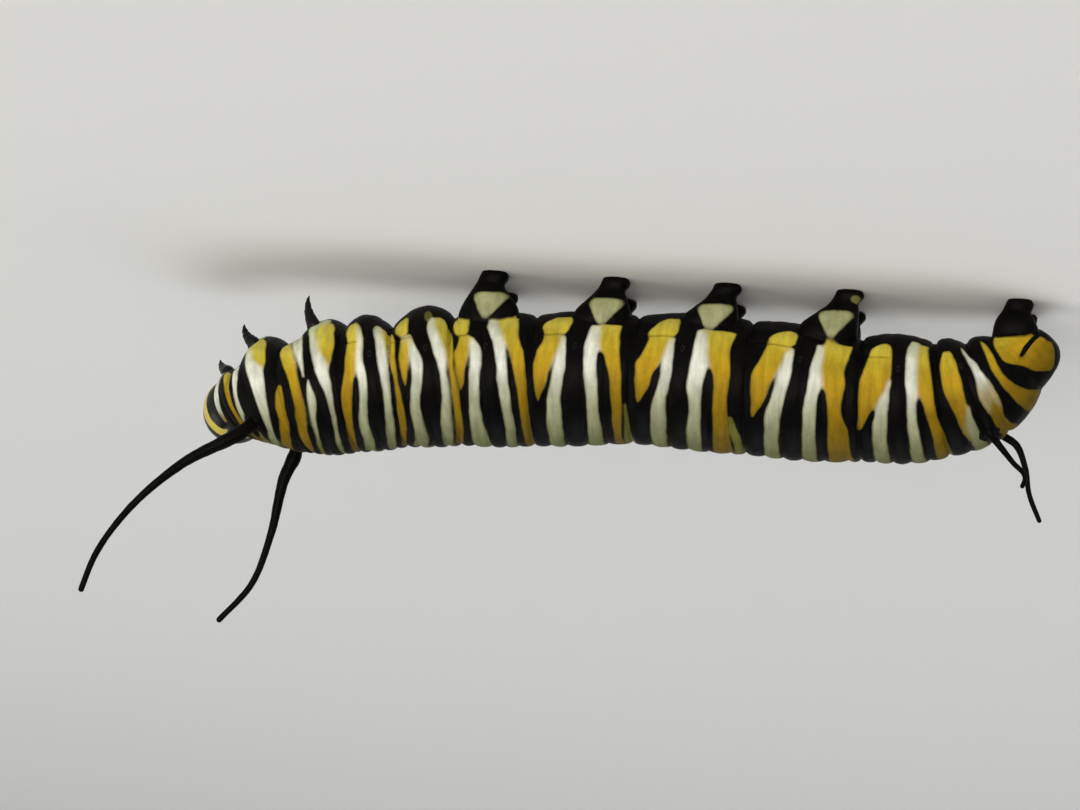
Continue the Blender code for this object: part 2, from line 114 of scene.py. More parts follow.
def hermite(share: Points, start: Points, end: Points, first: Points, last: Points) -> Points:
    """The curve from start to end that leaves with the first slope and arrives with the last."""
    square, cube = share ** 2, share ** 3
    return ((2 * cube - 3 * square + 1) * start + (cube - 2 * square + share) * first
            + (3 * square - 2 * cube) * end + (cube - square) * last)


def curve_through(places: Points, knots: Floats, values: Floats) -> Points:
    """A smooth curve through a few values.

    Args:
        places: where the curve is read.
        knots: rising places at which the values are given.
        values: one value per knot.

    Returns:
        The value at each place, held level beyond the first and last knots.
    """
    knots, values = np.array(knots, float), np.array(values, float)
    steps = np.diff(knots)
    rises = np.diff(values) / steps
    inner = (rises[:-1] * steps[1:] + rises[1:] * steps[:-1]) / (steps[:-1] + steps[1:])
    slopes = np.concatenate([[rises[0]], inner, [rises[-1]]])
    places = np.clip(places, knots[0], knots[-1])
    index = np.clip(np.searchsorted(knots, places, side="right") - 1, 0, len(steps) - 1)
    step = steps[index]
    return hermite((places - knots[index]) / step, values[index], values[index + 1], slopes[index] * step,
                   slopes[index + 1] * step)


def spline(rows: Points, places: Points) -> Points:
    """A smooth curve through rows whose first three columns are a point.

    Args:
        rows: one row per whole number from 0.
        places: where the curve is read, from 0 to the last row's number.

    Returns:
        One row per place.
    """
    places = np.atleast_1d(np.asarray(places, float))
    index = np.clip(np.floor(places).astype(int), 0, len(rows) - 2)
    share = (places - index)[:, None]
    padded = np.vstack([2 * rows[0] - rows[1], rows, 2 * rows[-1] - rows[-2]])
    before, start, end, after = (padded[index + offset] for offset in range(4))

    def length(first: Points, second: Points) -> Points:
        """The distance between two rows' points."""
        return np.linalg.norm((second - first)[:, :3], axis=1, keepdims=True)

    step_in, step, step_out = length(before, start), length(start, end), length(end, after)
    slope_start = ((end - start) / step * step_in + (start - before) / step_in * step) / (step_in + step)
    slope_end = ((after - end) / step_out * step + (end - start) / step * step_out) / (step + step_out)
    return hermite(share, start, end, slope_start * step, slope_end * step)


def directions(turn: Points, rise: Points) -> tuple[Points, Points, Points]:
    """The directions of something turned to the left and risen from level.

    Args:
        turn: degrees to the left.
        rise: degrees up.

    Returns:
        Forward, right and up.
    """
    turn, rise = np.radians(turn), np.radians(rise)
    forward = np.stack([np.cos(rise) * np.cos(turn), np.cos(rise) * np.sin(turn), np.sin(rise)], -1)
    right = np.stack([np.sin(turn), -np.cos(turn), np.zeros_like(turn)], -1)
    return forward, right, np.cross(right, forward)


def ripple(points: Points, size: float, seed: float = 0.0) -> Points:
    """Smooth noise from -1 to 1 at points in mm; size is the width of one ripple in mm."""
    shift = Vector((seed, seed * 1.7, -seed))
    return np.array([noise.noise(Vector(point) / size + shift) for point in points])


def lengths_along(way: Points) -> Points:
    """The length of a way from its start to each of its points."""
    return np.concatenate([[0], np.cumsum(np.linalg.norm(np.diff(way, axis=0), axis=1))])


def nearest(points: Points, others: Points) -> tuple[Points, Points]:
    """Finds for each point the nearest of the others.

    Args:
        points: rows.
        others: rows to search.

    Returns:
        The numbers of the others' rows, and the distances.
    """
    tree = KDTree(len(others))
    for index, point in enumerate(others):
        tree.insert(point, index)
    tree.balance()
    found = [tree.find(point) for point in points]
    return np.array([item[1] for item in found]), np.array([item[2] for item in found])


def bulge(values: Points, middle: float, width: float) -> Points:
    """A soft bulge: 1 at the middle and about a third at one width from it."""
    return np.exp(-((values - middle) / width) ** 2)


@dataclass
class Shell:
    """Points in mm and the faces between them."""
    points: Points
    faces: list[tuple[int, ...]]

    @staticmethod
    def loft(rings: Points, first: Points | None = None, last: Points | None = None) -> "Shell":
        """A closed shell through rings of points, each end fanned to a point.

        Args:
            rings: array of rings, each with the same number of points.
            first: the point that closes the first ring, or its middle.
            last: the point that closes the last ring, or its middle.

        Returns:
            The shell, its faces turned outward when the rings run anticlockwise.
        """
        count, sides, _ = rings.shape
        first = rings[0].mean(axis=0) if first is None else first
        last = rings[-1].mean(axis=0) if last is None else last
        points = np.vstack([rings.reshape(-1, 3), [first, last]])
        faces: list[tuple[int, ...]] = []
        for row in range(count - 1):
            for index in range(sides):
                near, following = row * sides + index, row * sides + (index + 1) % sides
                faces.append((near, following, following + sides, near + sides))
        for index in range(sides):
            following = (index + 1) % sides
            faces.append((following, index, count * sides))
            faces.append(((count - 1) * sides + index, (count - 1) * sides + following, count * sides + 1))
        return Shell(points, faces)

    @staticmethod
    def tube(axis: Points, radii: Points, sides: int) -> "Shell":
        """A round tube along an axis.

        Args:
            axis: points of the axis.
            radii: one radius per point.
            sides: points per ring.

        Returns:
            The closed tube.
        """
        along = unit(np.gradient(axis, axis=0))
        across = np.zeros_like(axis)
        # A slanted start, so that no tube here runs along it.
        guide = np.array([0.3, 1.0, 0.2])
        for index, direction in enumerate(along):
            guide = unit(guide - direction * guide.dot(direction))
            across[index] = guide
        other = np.cross(along, across)
        turns = np.linspace(0, 2 * math.pi, sides, endpoint=False)[None, :, None]
        rings = axis[:, None] + radii[:, None, None] * (across[:, None] * np.cos(turns)
                                                        + other[:, None] * np.sin(turns))
        return Shell.loft(rings)

    @staticmethod
    def block(size: Triple, squareness: float, sides: int = 32) -> "Shell":
        """A block with all its edges rounded off, about the origin.

        Args:
            size: length, width and height.
            squareness: 1 for an ellipsoid, towards 0 for a sharp block.
            sides: points round its middle.

        Returns:
            The closed shell.
        """
        turns = -np.linspace(0, 2 * math.pi, sides, endpoint=False)
        slopes = np.linspace(-math.pi / 2, math.pi / 2, sides // 2)[1:-1]

        def power(values: Points) -> Points:
            """The values' roundness, with their signs kept."""
            return np.sign(values) * np.abs(values) ** squareness

        rings = np.stack([power(np.cos(slopes))[:, None] * power(np.cos(turns)),
                          power(np.cos(slopes))[:, None] * power(np.sin(turns)),
                          np.repeat(power(np.sin(slopes))[:, None], sides, 1)], -1) * np.array(size) / 2
        return Shell.loft(rings, first=np.array([0, 0, -size[2] / 2]), last=np.array([0, 0, size[2] / 2]))

    @staticmethod
    def joined(shells: list["Shell"]) -> "Shell":
        """Several shells as one.

        Args:
            shells: the shells, which may pass through each other.

        Returns:
            One shell with all their points and faces.
        """
        faces, start = [], 0
        for shell in shells:
            faces += [tuple(index + start for index in face) for face in shell.faces]
            start += len(shell.points)
        return Shell(np.vstack([shell.points for shell in shells]), faces)


@dataclass(frozen=True)
class Placement:
    """Where the animal's own millimetres lie in the model's frame: read from the solid of one segment."""
    node: str = "abdomen_5"
    head_end: float = -4.6

    def shift(self) -> Points:
        """The shift in mm from the animal's origin to the model's."""
        low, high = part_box(self.node)
        return np.array([high.x / MM - self.head_end, (low.y + high.y) / 2 / MM, 0.0])

    def to_model(self, points: Points) -> Points:
        """Points in mm on the animal, as metres in the model's frame."""
        return (np.asarray(points, float) + self.shift()) * MM


PLACEMENT = Placement()


def add_object(name: str, data: bpy.types.ID) -> Piece:
    """Makes an object in the scene.

    Args:
        name: its name.
        data: its mesh, lamp or camera.

    Returns:
        The object.
    """
    obj = bpy.data.objects.new(name, data)
    bpy.context.scene.collection.objects.link(obj)
    return obj


def add_mesh(name: str, points: Points, faces: list[tuple[int, ...]]) -> Piece:
    """Makes a smooth mesh object in the scene.

    Args:
        name: its name.
        points: rows in the scene's own unit.
        faces: the numbers of each face's points.

    Returns:
        The object.
    """
    mesh = bpy.data.meshes.new(name)
    mesh.from_pydata(points.tolist(), [], faces)
    mesh.validate()
    mesh.shade_smooth()
    return add_object(name, mesh)


def make_piece(name: str, shell: Shell, finish: "Finish", replaces: tuple[str, ...] = (),
               fields: dict[str, Points] | None = None) -> Piece:
    """Makes one piece of the model, riding on the body.

    Args:
        name: the piece's name.
        shell: its points in mm and its faces.
        finish: what it is made of.
        replaces: the solids that it stands for.
        fields: per-point values for the finish, by name: numbers, or rows of three.

    Returns:
        The object.
    """
    obj = add_mesh(name, PLACEMENT.to_model(shell.points), shell.faces)
    for key, values in ({"pale": np.full(len(shell.points), -1.0)} | (fields or {})).items():
        kind, slot = ("FLOAT", "value") if values.ndim == 1 else ("FLOAT_VECTOR", "vector")
        marks = obj.data.attributes.new(key, kind, "POINT")
        marks.data.foreach_set(slot, values.astype(np.float32).ravel())
    obj.data.materials.append(finish.material())
    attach(obj, "root")
    if replaces:
        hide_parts(*replaces)
    return obj


class SubAssembly:
    """A part of the model that builds and dresses its own pieces."""

    def build(self) -> list[Piece]:
        """Builds the pieces and gives them."""
        raise NotImplementedError


# Finishes


def linear(colour: str) -> tuple[float, float, float, float]:
    """An sRGB hex colour as linear values, by the standard curve."""
    channels = [int(colour[place:place + 2], 16) / 255 for place in (1, 3, 5)]
    return (*[c / 12.92 if c <= 0.04045 else ((c + 0.055) / 1.055) ** 2.4 for c in channels], 1.0)


def add_node(tree: bpy.types.NodeTree, kind: str, inputs: dict | None = None, stops: tuple = (),
             **settings: object) -> Node:
    """Adds one shader node.

    Args:
        tree: the material's nodes.
        kind: the node's Blender type, without the ShaderNode in front.
        inputs: by name or number, a value to set, or a socket or node (its first socket) to link.
        stops: for a colour ramp, its places with their hex colours, the two outermost first.
        settings: the node's own properties.

    Returns:
        The node.
    """
    made = tree.nodes.new("ShaderNode" + kind)
    for key, value in settings.items():
        setattr(made, key, value)
    for key, value in (inputs or {}).items():
        if isinstance(value, Node):
            value = value.outputs[0]
        if isinstance(value, bpy.types.NodeSocket):
            tree.links.new(value, made.inputs[key])
        else:
            made.inputs[key].default_value = value
    for number, (place, colour) in enumerate(stops):
        stop = made.color_ramp.elements[number] if number < 2 else made.color_ramp.elements.new(place)
        stop.position, stop.color = place, linear(colour)
    return made


@dataclass(frozen=True)
class Finish:
    """A surface: its name, a slot name that is not used here, and how its nodes are made."""
    name: str
    slot: str

    def material(self) -> bpy.types.Material:
        """Makes the finish's material, or finds it when it is made already.

        Returns:
            The material.
        """
        found = bpy.data.materials.get(self.name)
        if found:
            return found
        made = bpy.data.materials.new(self.name)
        made.use_nodes = True
        made.node_tree.nodes.clear()
        add_node(made.node_tree, "OutputMaterial", {"Surface": self.shade(made.node_tree)})
        return made

    def shade(self, tree: bpy.types.NodeTree) -> Node:
        """Adds the shader's nodes and gives the last one."""
        raise NotImplementedError


@dataclass(frozen=True)
class BandedCuticle(Finish):
    """Larval cuticle, grown over soft flesh and stretched smooth.

    To the eye it is satin, with broad dim highlights and no glints. Black bands are melanin in the cuticle
    and pale ones pigment under it, so their edges are crisp but uneven, with a thin brownish rim. White
    flows into yellow. Both grow darker and greener towards the back, partly their own tone and partly
    painted shade, and brighter on the flank and belly by painted light. Olive patches on the back are
    painted shade, and so is the dark brown in the creases.
    """
    name: str = "larval_cuticle_grown_satin"
    slot: str = "banded_skin"
    # Cuticle has the IOR of chitin and protein. Its waxy bloom scatters most of the mirror part.
    roughness: float = 0.44
    ior: float = 1.45
    sheen: float = 0.05
    # From the middle of the back (0) to the middle of the belly (1): the bands' own tones, darkened towards
    # the back by painted shade and brightened on the flank and belly by painted light.
    lit_and_shaded_whites: tuple = ((0.0, "#6F7347"), (1.0, "#C6CCA0"), (0.3, "#ABAE92"), (0.52, "#E1E3D8"),
                     (0.78, "#D9DBC8"))
    lit_and_shaded_yellows: tuple = ((0.0, "#6B560E"), (1.0, "#CFC156"), (0.3, "#927213"), (0.52, "#B8951E"),
                      (0.78, "#C4B036"))
    blacks: tuple = ((0.3, "#030303"), (0.75, "#0B0A09"))
    # Painted shade: the olive towards which the pale bands on the back, and partly the legs' spots, are
    # mixed.
    olive_and_shade: str = "#66662C"
    rim: str = "#57501C"
    # Painted shade: the dark brown laid into the creases of the pale bands.
    fold: str = "#1A1406"
    # A band's edge wanders by 0.09 mm in waves of 0.3 by 0.7 mm, and is 0.09 mm wide: one cell of pigment is
    # 0.02 mm, too fine to show, so the edge is drawn coarser. The rim is 0.11 mm wide.
    edge_noise: float = 0.09
    edge_waves_per_mm: float = 3.2
    edge_wave_stretch: Triple = (1.0, 0.45, 1.0)
    edge_width: float = 0.045
    rim_width: float = 0.11
    # Pigment: clouds of 0.9 mm, streaks of 0.24 by 1.3 mm, grain of 0.11 mm, coarser than the real 0.03 mm.
    clouds_per_mm: float = 1.1
    streaks_per_mm: Triple = (4.2, 0.75, 1.0)
    grain_per_mm: float = 9.0
    # What each of the three does to the brightness: noise from, noise to, darkest, brightest.
    cloud_range: tuple[float, float, float, float] = (0.3, 0.7, 0.82, 1.08)
    streak_range: tuple[float, float, float, float] = (0.32, 0.62, 0.8, 1.04)
    grain_range: tuple[float, float, float, float] = (0.3, 0.62, 0.93, 1.0)
    # Relief: wrinkles 0.2 mm apart and 0.9 mm long, and pits 0.07 mm apart, coarser than the real 0.02 mm.
    wrinkles_per_mm: Triple = (5.0, 1.1, 1.0)
    pits_per_mm: float = 14.0
    pit_share: float = 0.22
    relief_mm: float = 0.05

    def shade(self, tree: bpy.types.NodeTree) -> Node:
        """Adds the nodes of the bands' edges and tints, of the pigment, then of relief and gloss.

        Args:
            tree: the material's nodes.

        Returns:
            The last node.
        """
        add = partial(add_node, tree)
        flow = add("Attribute", attribute_name="flow").outputs["Vector"]
        pale, gold, olive_and_shade, crease, tone_and_shade = (add("Attribute", attribute_name=key).outputs["Fac"]
                                           for key in ("pale", "gold", "olive_and_shade", "crease", "tone_and_shade"))
        wide = add("Mapping", {"Vector": flow, "Scale": self.edge_wave_stretch})
        ragged = add("TexNoise", {"Vector": wide, "Scale": self.edge_waves_per_mm, "Detail": 3.0})
        uneven = add("Math", {0: ragged, 1: self.edge_noise, 2: -self.edge_noise / 2},
                     operation="MULTIPLY_ADD")
        edge = add("Math", {0: pale, 1: uneven}, operation="ADD")
        mask = add("MapRange", {"Value": edge, "From Min": -self.edge_width, "From Max": self.edge_width},
                   interpolation_type="SMOOTHSTEP")
        rim = add("MapRange", {"Value": edge, "From Min": 0.0, "From Max": self.rim_width,
                               "To Min": 0.45, "To Max": 1.0})

        clouds = add("TexNoise", {"Vector": flow, "Scale": self.clouds_per_mm, "Detail": 3.0})
        drawn = add("Mapping", {"Vector": flow, "Scale": self.streaks_per_mm})
        streaks = add("TexNoise", {"Vector": drawn, "Scale": 1.0, "Detail": 4.0, "Roughness": 0.55})
        grain = add("TexNoise", {"Vector": flow, "Scale": self.grain_per_mm, "Detail": 2.0})
        texture = None
        for pattern, (low, high, darkest, brightest) in (
                (clouds, self.cloud_range), (streaks, self.streak_range), (grain, self.grain_range)):
            layer = add("MapRange", {"Value": pattern, "From Min": low, "From Max": high,
                                     "To Min": darkest, "To Max": brightest})
            texture = layer if texture is None else add("Math", {0: texture, 1: layer}, operation="MULTIPLY")

        # The white and yellow ramps run from painted shade on the back to painted light on the flank and
        # belly.
        colour, yellow, black = (add("ValToRGB", {"Fac": place}, stops=stops) for place, stops in (
            (tone_and_shade, self.lit_and_shaded_whites), (tone_and_shade, self.lit_and_shaded_yellows), (clouds, self.blacks)))
        # In turn: yellow, the olive of painted shade, the brownish rim, the pigment's texture, black, then
        # the painted shade in the creases.
        for share, below, above, blend in (
                (gold, None, yellow, "MIX"),
                (olive_and_shade, None, linear(self.olive_and_shade), "MIX"),
                (rim, linear(self.rim), None, "MIX"),
                (1.0, None, texture, "MULTIPLY"),
                (mask, black, None, "MIX"),
                (crease, None, linear(self.fold), "MIX")):
            colour = add("Mix", {0: share, 6: colour if below is None else below,
                                 7: colour if above is None else above},
                         data_type="RGBA", blend_type=blend).outputs[2]

        stretched = add("Mapping", {"Vector": flow, "Scale": self.wrinkles_per_mm})
        wrinkles = add("TexNoise", {"Vector": stretched, "Scale": 1.0, "Detail": 4.0, "Roughness": 0.55})
        pits = add("TexVoronoi", {"Vector": flow, "Scale": self.pits_per_mm})
        relief = add("Math", {0: pits, 1: self.pit_share, 2: wrinkles}, operation="MULTIPLY_ADD")
        bump = add("Bump", {"Height": relief, "Strength": 0.5, "Distance": self.relief_mm * MM})
        gloss = add("MapRange", {"Value": grain, "To Min": self.roughness - 0.07,
                                 "To Max": self.roughness + 0.1})
        return add("BsdfPrincipled", {"Base Color": colour, "Roughness": gloss, "IOR": self.ior,
                                      "Specular IOR Level": self.sheen, "Normal": bump})


@dataclass(frozen=True)
class HardChitin(Finish):
    """Tanned chitin, hardened after the moult, with a fine shagreen that breaks its glints.

    Its default is the thorax legs' finish: nearly black, so that only glints tell their roundness. The real
    shagreen is about 0.02 mm wide, so grain_mm draws it coarser. The tanning's clouds are 0.8 mm wide.
    """
    name: str = "tanned_chitin_hardened_gloss"
    slot: str = "leg_shell"
    colour: str = "#050504"
    worn: str = "#0C0B0A"
    pale: str = "#C9B03A"
    roughness: float = 0.34
    grain_mm: float = 0.06
    coat: float = 0.0
    sheen: float = 0.16
    ior: float = 1.56
    clouds_per_mm: float = 1.2
    edge_noise: float = 0.05

    def shade(self, tree: bpy.types.NodeTree) -> Node:
        """Adds the nodes of clouded tanning and uneven pale markings, then of shagreen and gloss.

        Args:
            tree: the material's nodes.

        Returns:
            The last node.
        """
        add = partial(add_node, tree)
        place = add("TexCoord").outputs["Object"]
        marks = add("Attribute", attribute_name="pale").outputs["Fac"]
        clouds = add("TexNoise", {"Vector": place, "Scale": self.clouds_per_mm / MM, "Detail": 3.0})
        grain = add("TexVoronoi", {"Vector": place, "Scale": 1 / (self.grain_mm * MM)})
        dark = add("Mix", {0: clouds, 6: linear(self.colour), 7: linear(self.worn)}, data_type="RGBA")
        uneven = add("Math", {0: clouds, 1: self.edge_noise, 2: -self.edge_noise / 2},
                     operation="MULTIPLY_ADD")
        edge = add("Math", {0: marks, 1: uneven}, operation="ADD")
        mask = add("MapRange", {"Value": edge, "From Min": -0.02, "From Max": 0.03},
                   interpolation_type="SMOOTHSTEP")
        banded = add("Mix", {0: mask, 6: dark.outputs[2], 7: linear(self.pale)}, data_type="RGBA")
        gloss = add("MapRange", {"Value": clouds, "To Min": self.roughness - 0.06,
                                 "To Max": self.roughness + 0.08})
        bump = add("Bump", {"Height": grain, "Strength": 0.25, "Distance": 0.012 * MM})
        return add("BsdfPrincipled", {
            "Base Color": banded.outputs[2], "Roughness": gloss, "IOR": self.ior, "Normal": bump,
            "Specular IOR Level": self.sheen, "Coat Weight": self.coat, "Coat Roughness": 0.08})


CUTICLE = BandedCuticle()
LEG_CHITIN = HardChitin()
# The rims of the breathing holes: thin and dull, so they only just part from the black bands.
RIM_CHITIN = HardChitin("spiracle_chitin_hardened_satin", "banded_skin", "#0A0908", "#12100D", "#12100D",
                        roughness=0.45, grain_mm=0.05, sheen=0.1)
# The head shell: thicker and smoother, so it shows the round window of light that the skin doesn't.
HEAD_CHITIN = HardChitin("head_chitin_hardened_gloss", "head_shell", "#050504", "#0F0D0B", "#C2B04C",
                         roughness=0.32, grain_mm=0.09, sheen=0.22)
# The jaws: the densest chitin, worn smooth by chewing, with a brown sheen and sharp glints on the teeth.
JAW_CHITIN = HardChitin("jaw_chitin_hardened_dense", "jaw_shell", "#120B08", "#2E1B10", "#4A2C16",
                        roughness=0.2, grain_mm=0.12, sheen=0.4)
# Lips and feelers: soft and thin, greyish where the flesh shows through.
LIP_CUTICLE = HardChitin("mouth_cuticle_soft_satin", "lip_skin", "#1B1813", "#3B3728", "#B9B58C",
                         roughness=0.42, grain_mm=0.05, sheen=0.3)
# The sole hooks: thin amber chitin that lets light through at the tips.
HOOK_CHITIN = HardChitin("hook_chitin_amber_hardened", "proleg_skin", "#3A1F0A", "#6B3C12", "#6B3C12",
                         roughness=0.25, grain_mm=0.05, sheen=0.4)
# The eyes' lenses: clear and polished over dark pigment, so each bead has one small white glint.
EYE_CORNEA = HardChitin("eye_cornea_clear_polished", "eye_lens", "#070505", "#0E0907", "#0E0907",
                        roughness=0.09, grain_mm=0.3, coat=1.0, sheen=0.5)


@dataclass(frozen=True)
class StudioPaper(Finish):
    """Seamless studio paper, pressed matt: pale and even, with a faint tooth of fibres 0.5 mm long."""
    name: str = "studio_paper_matt"
    slot: str = ""
    colour: str = "#F3F2EE"
    roughness: float = 0.85
    fibres_per_mm: float = 2.0
    tooth_mm: float = 0.02

    def shade(self, tree: bpy.types.NodeTree) -> Node:
        """Adds the nodes of the paper.

        Args:
            tree: the material's nodes.

        Returns:
            The last node.
        """
        add = partial(add_node, tree)
        place = add("TexCoord").outputs["Object"]
        tooth = add("TexNoise", {"Vector": place, "Scale": self.fibres_per_mm / MM, "Detail": 2.0})
        bump = add("Bump", {"Height": tooth, "Strength": 0.08, "Distance": self.tooth_mm * MM})
        return add("BsdfPrincipled", {"Base Color": linear(self.colour), "Roughness": self.roughness,
                                      "Normal": bump})


# The body's form


@dataclass(frozen=True)
class Fold:
    """A fold between two segments: centre, half sizes, and the body's direction there in degrees."""
    x: float
    y: float
    z: float
    half_width: float
    above: float
    below: float
    turn: float
    rise: float


@dataclass(frozen=True)
class Segment:
    """A segment: its solid's name, its belly lobe's depth, middle and start, and where its skin is ringed.

    The depth is in mm, the places are shares of the segment's length.
    """
    node: str
    lobe: float
    lobe_place: float
    rings: Floats
    lobe_start: float = 0.0


@dataclass(frozen=True)
class BodyForm:
    """The trunk from the neck to the tail's tip.

    The middle of each segment swells out from its folds, and its belly hangs down in a lobe of its own. Fine
    rings lie on the segments, highest along the back, and one crease runs along each flank above the feet.
    """
    folds: tuple[Fold, ...] = (
        Fold(14.85, 2.9, 6.0, 1.55, 1.55, 1.62, 56, 22), Fold(13.95, 1.65, 6.05, 2.0, 2.25, 1.74, 32, 26),
        Fold(11.65, 0.6, 5.85, 2.65, 2.85, 2.35, 14, 18), Fold(9.0, 0.15, 5.45, 2.95, 3.0, 2.75, 5, 9),
        Fold(6.75, 0.02, 5.15, 3.05, 2.95, 2.6, 1, 10), Fold(4.0, 0.0, 4.8, 3.1, 3.05, 2.95, 0, 7),
        Fold(0.3, 0.0, 4.55, 3.1, 3.1, 3.0, 0, 2), Fold(-4.45, 0.0, 4.3, 3.15, 2.95, 3.0, 0, 0),
        Fold(-9.8, 0.0, 4.35, 3.15, 3.1, 3.1, 0, 0), Fold(-15.05, 0.0, 4.6, 3.0, 2.85, 2.8, 2, 2),
        Fold(-18.75, -0.12, 4.4, 2.7, 2.65, 2.6, 5, 10),
        Fold(-20.75, -0.32, 3.75, 2.35, 2.3, 2.2, 9, 28),
        Fold(-22.0, -0.52, 2.6, 1.9, 1.8, 1.7, 12, 46),
        Fold(-23.42, -0.88, 1.28, 1.45, 1.55, 1.0, 14, 52))
    segments: tuple[Segment, ...] = (
        Segment("prothorax", 0.12, 0.4, (0, 0.33, 0.66, 1)),
        Segment("mesothorax", 0.9, 0.45, (0, 0.15, 0.42, 0.8, 1), 0.34),
        Segment("metathorax", 0.62, 0.5, (0, 0.2, 0.4, 0.66, 0.9, 1), 0.36),
        Segment("abdomen_1", 0.58, 0.45, (0, 0.26, 0.53, 0.78, 1)),
        Segment("abdomen_2", 0.7, 0.5, (0, 0.24, 0.5, 0.76, 1)),
        Segment("abdomen_3", 0.05, 0.5, (0, 0.18, 0.42, 0.62, 0.8, 1)),
        Segment("abdomen_4", 0.05, 0.5, (0, 0.18, 0.35, 0.55, 0.76, 1)),
        Segment("abdomen_5", 0.05, 0.5, (0, 0.17, 0.34, 0.5, 0.68, 0.87, 1)),
        Segment("abdomen_6", 0.05, 0.5, (0, 0.17, 0.33, 0.5, 0.69, 0.9, 1)),
        Segment("abdomen_7", 0.22, 0.45, (0, 0.18, 0.38, 0.59, 0.8, 1)),
        Segment("abdomen_8", 0.12, 0.45, (0, 0.35, 0.7, 1)),
        Segment("abdomen_9", 0.05, 0.5, (0, 0.5, 1)),
        Segment("abdomen_10", 0.0, 0.5, (0, 1)))
    # How far a segment's middle stands out and its folds lie in, in mm, and how square the swelling is.
    swell: float = 0.22
    swell_fullness: float = 0.7
    fold_depth: float = 0.08
    lobe_fullness: float = 0.75
    tail_roundness: float = 2.8
    # The skin tucked in at the neck, behind the head: shares of the first ring, and mm ahead of it.
    collar: tuple[Pair, ...] = ((0.55, 0.05), (0.8, 0.1), (0.94, 0.08))
    # Rings of skin: their height in mm at angles from the back to the belly, their squareness and mean level.
    ring_angles: Floats = (0, 50, 90, 120, 180)
    ring_heights: Floats = (0.14, 0.12, 0.07, 0.03, 0.02)
    ring_squareness: float = 0.5
    ring_level: float = 0.76
    # The part of a fold's hollow that the upper skin fills, and where the back becomes belly.
    fill: float = 0.55
    back_ends: Pair = (88, 118)
    # The crease in each fold: half its width, its depths on back and belly in mm, and how dark its painted
    # shade is there.
    crease_width: float = 0.12
    crease_depths: Pair = (0.035, 0.09)
    crease_shades: Pair = (0.3, 0.75)
    # The crease along the flank of the first seven abdomen segments, and the ridge below it.
    flank_crease: float = 116.6
    flank_ridge: float = 130
    flank_depth: float = 0.07
    rows: int = 240
    tail_rows: int = 26
    sides: int = 96

    @property
    def tail(self) -> int:
        """The number of the last segment."""
        return len(self.segments) - 1

    def frames(self, stations: Points) -> tuple[Points, Points, Points, Points, Points]:
        """Centre, forward, right, up and half sizes of the body at each station."""
        rows = spline(np.array([list(vars(fold).values()) for fold in self.folds]), stations)
        return (rows[:, :3], *directions(rows[:, 6], rows[:, 7]), rows[:, 3:6])

    def skin(self, stations: Points, angles: Points) -> Points:
        """Points on the smooth skin.

        Args:
            stations: places along the body.
            angles: angles round it in degrees.

        Returns:
            One point per pair.
        """
        centre, _, right, up, sizes = self.frames(stations)
        number = np.clip(np.floor(stations).astype(int), 0, self.tail)
        share = np.clip(stations - number, 0.0, 1.0)
        tail = np.clip(stations - self.tail, 0.0, 1.0)
        crown = self.swell * np.sin(math.pi * share).clip(0) ** self.swell_fullness - self.fold_depth
        crown = np.where(tail > 0, -self.fold_depth, crown)
        places, depths, starts = np.array([(segment.lobe_place, segment.lobe, segment.lobe_start)
                                           for segment in self.segments])[number].T
        pulled = ((share - starts) / (1 - starts)).clip(0) ** (math.log(0.5) / np.log(places))
        lobe = depths * np.sin(math.pi * pulled).clip(0) ** (self.lobe_fullness * (1 - starts))
        closing = (1 - tail ** self.tail_roundness) ** (1 / self.tail_roundness)
        cosine, sine = np.cos(np.radians(angles)), np.sin(np.radians(angles))
        height = (np.where(cosine > 0, sizes[:, 1], sizes[:, 2]) + crown) * closing
        height = height + np.where(cosine < 0, lobe * np.abs(cosine) ** (0.5 + 2 * starts), 0.0)
        width = (sizes[:, 0] + crown) * closing
        return centre + up * (cosine * height)[:, None] + right * (sine * width)[:, None]

    def shell(self) -> Shell:
        """Builds the trunk, rounded at the tail and tucked in at the neck.

        Returns:
            The trunk as a closed shell.
        """
        rounding = np.sin(np.linspace(0, math.pi / 2, self.tail_rows)[1:-1])
        stations = np.concatenate([np.linspace(0.0, self.tail, self.rows), self.tail + rounding])
        angles = -np.linspace(0, 360, self.sides, endpoint=False)
        rings = np.array([self.skin(np.full(self.sides, station), angles) for station in stations])
        centre, forward, _, _, _ = self.frames(np.array([0.0, self.tail + 1.0]))
        collar = [centre[0] + (rings[0] - centre[0]) * share + forward[0] * push
                  for share, push in self.collar]
        return Shell.loft(np.concatenate([collar, rings]), last=centre[1])

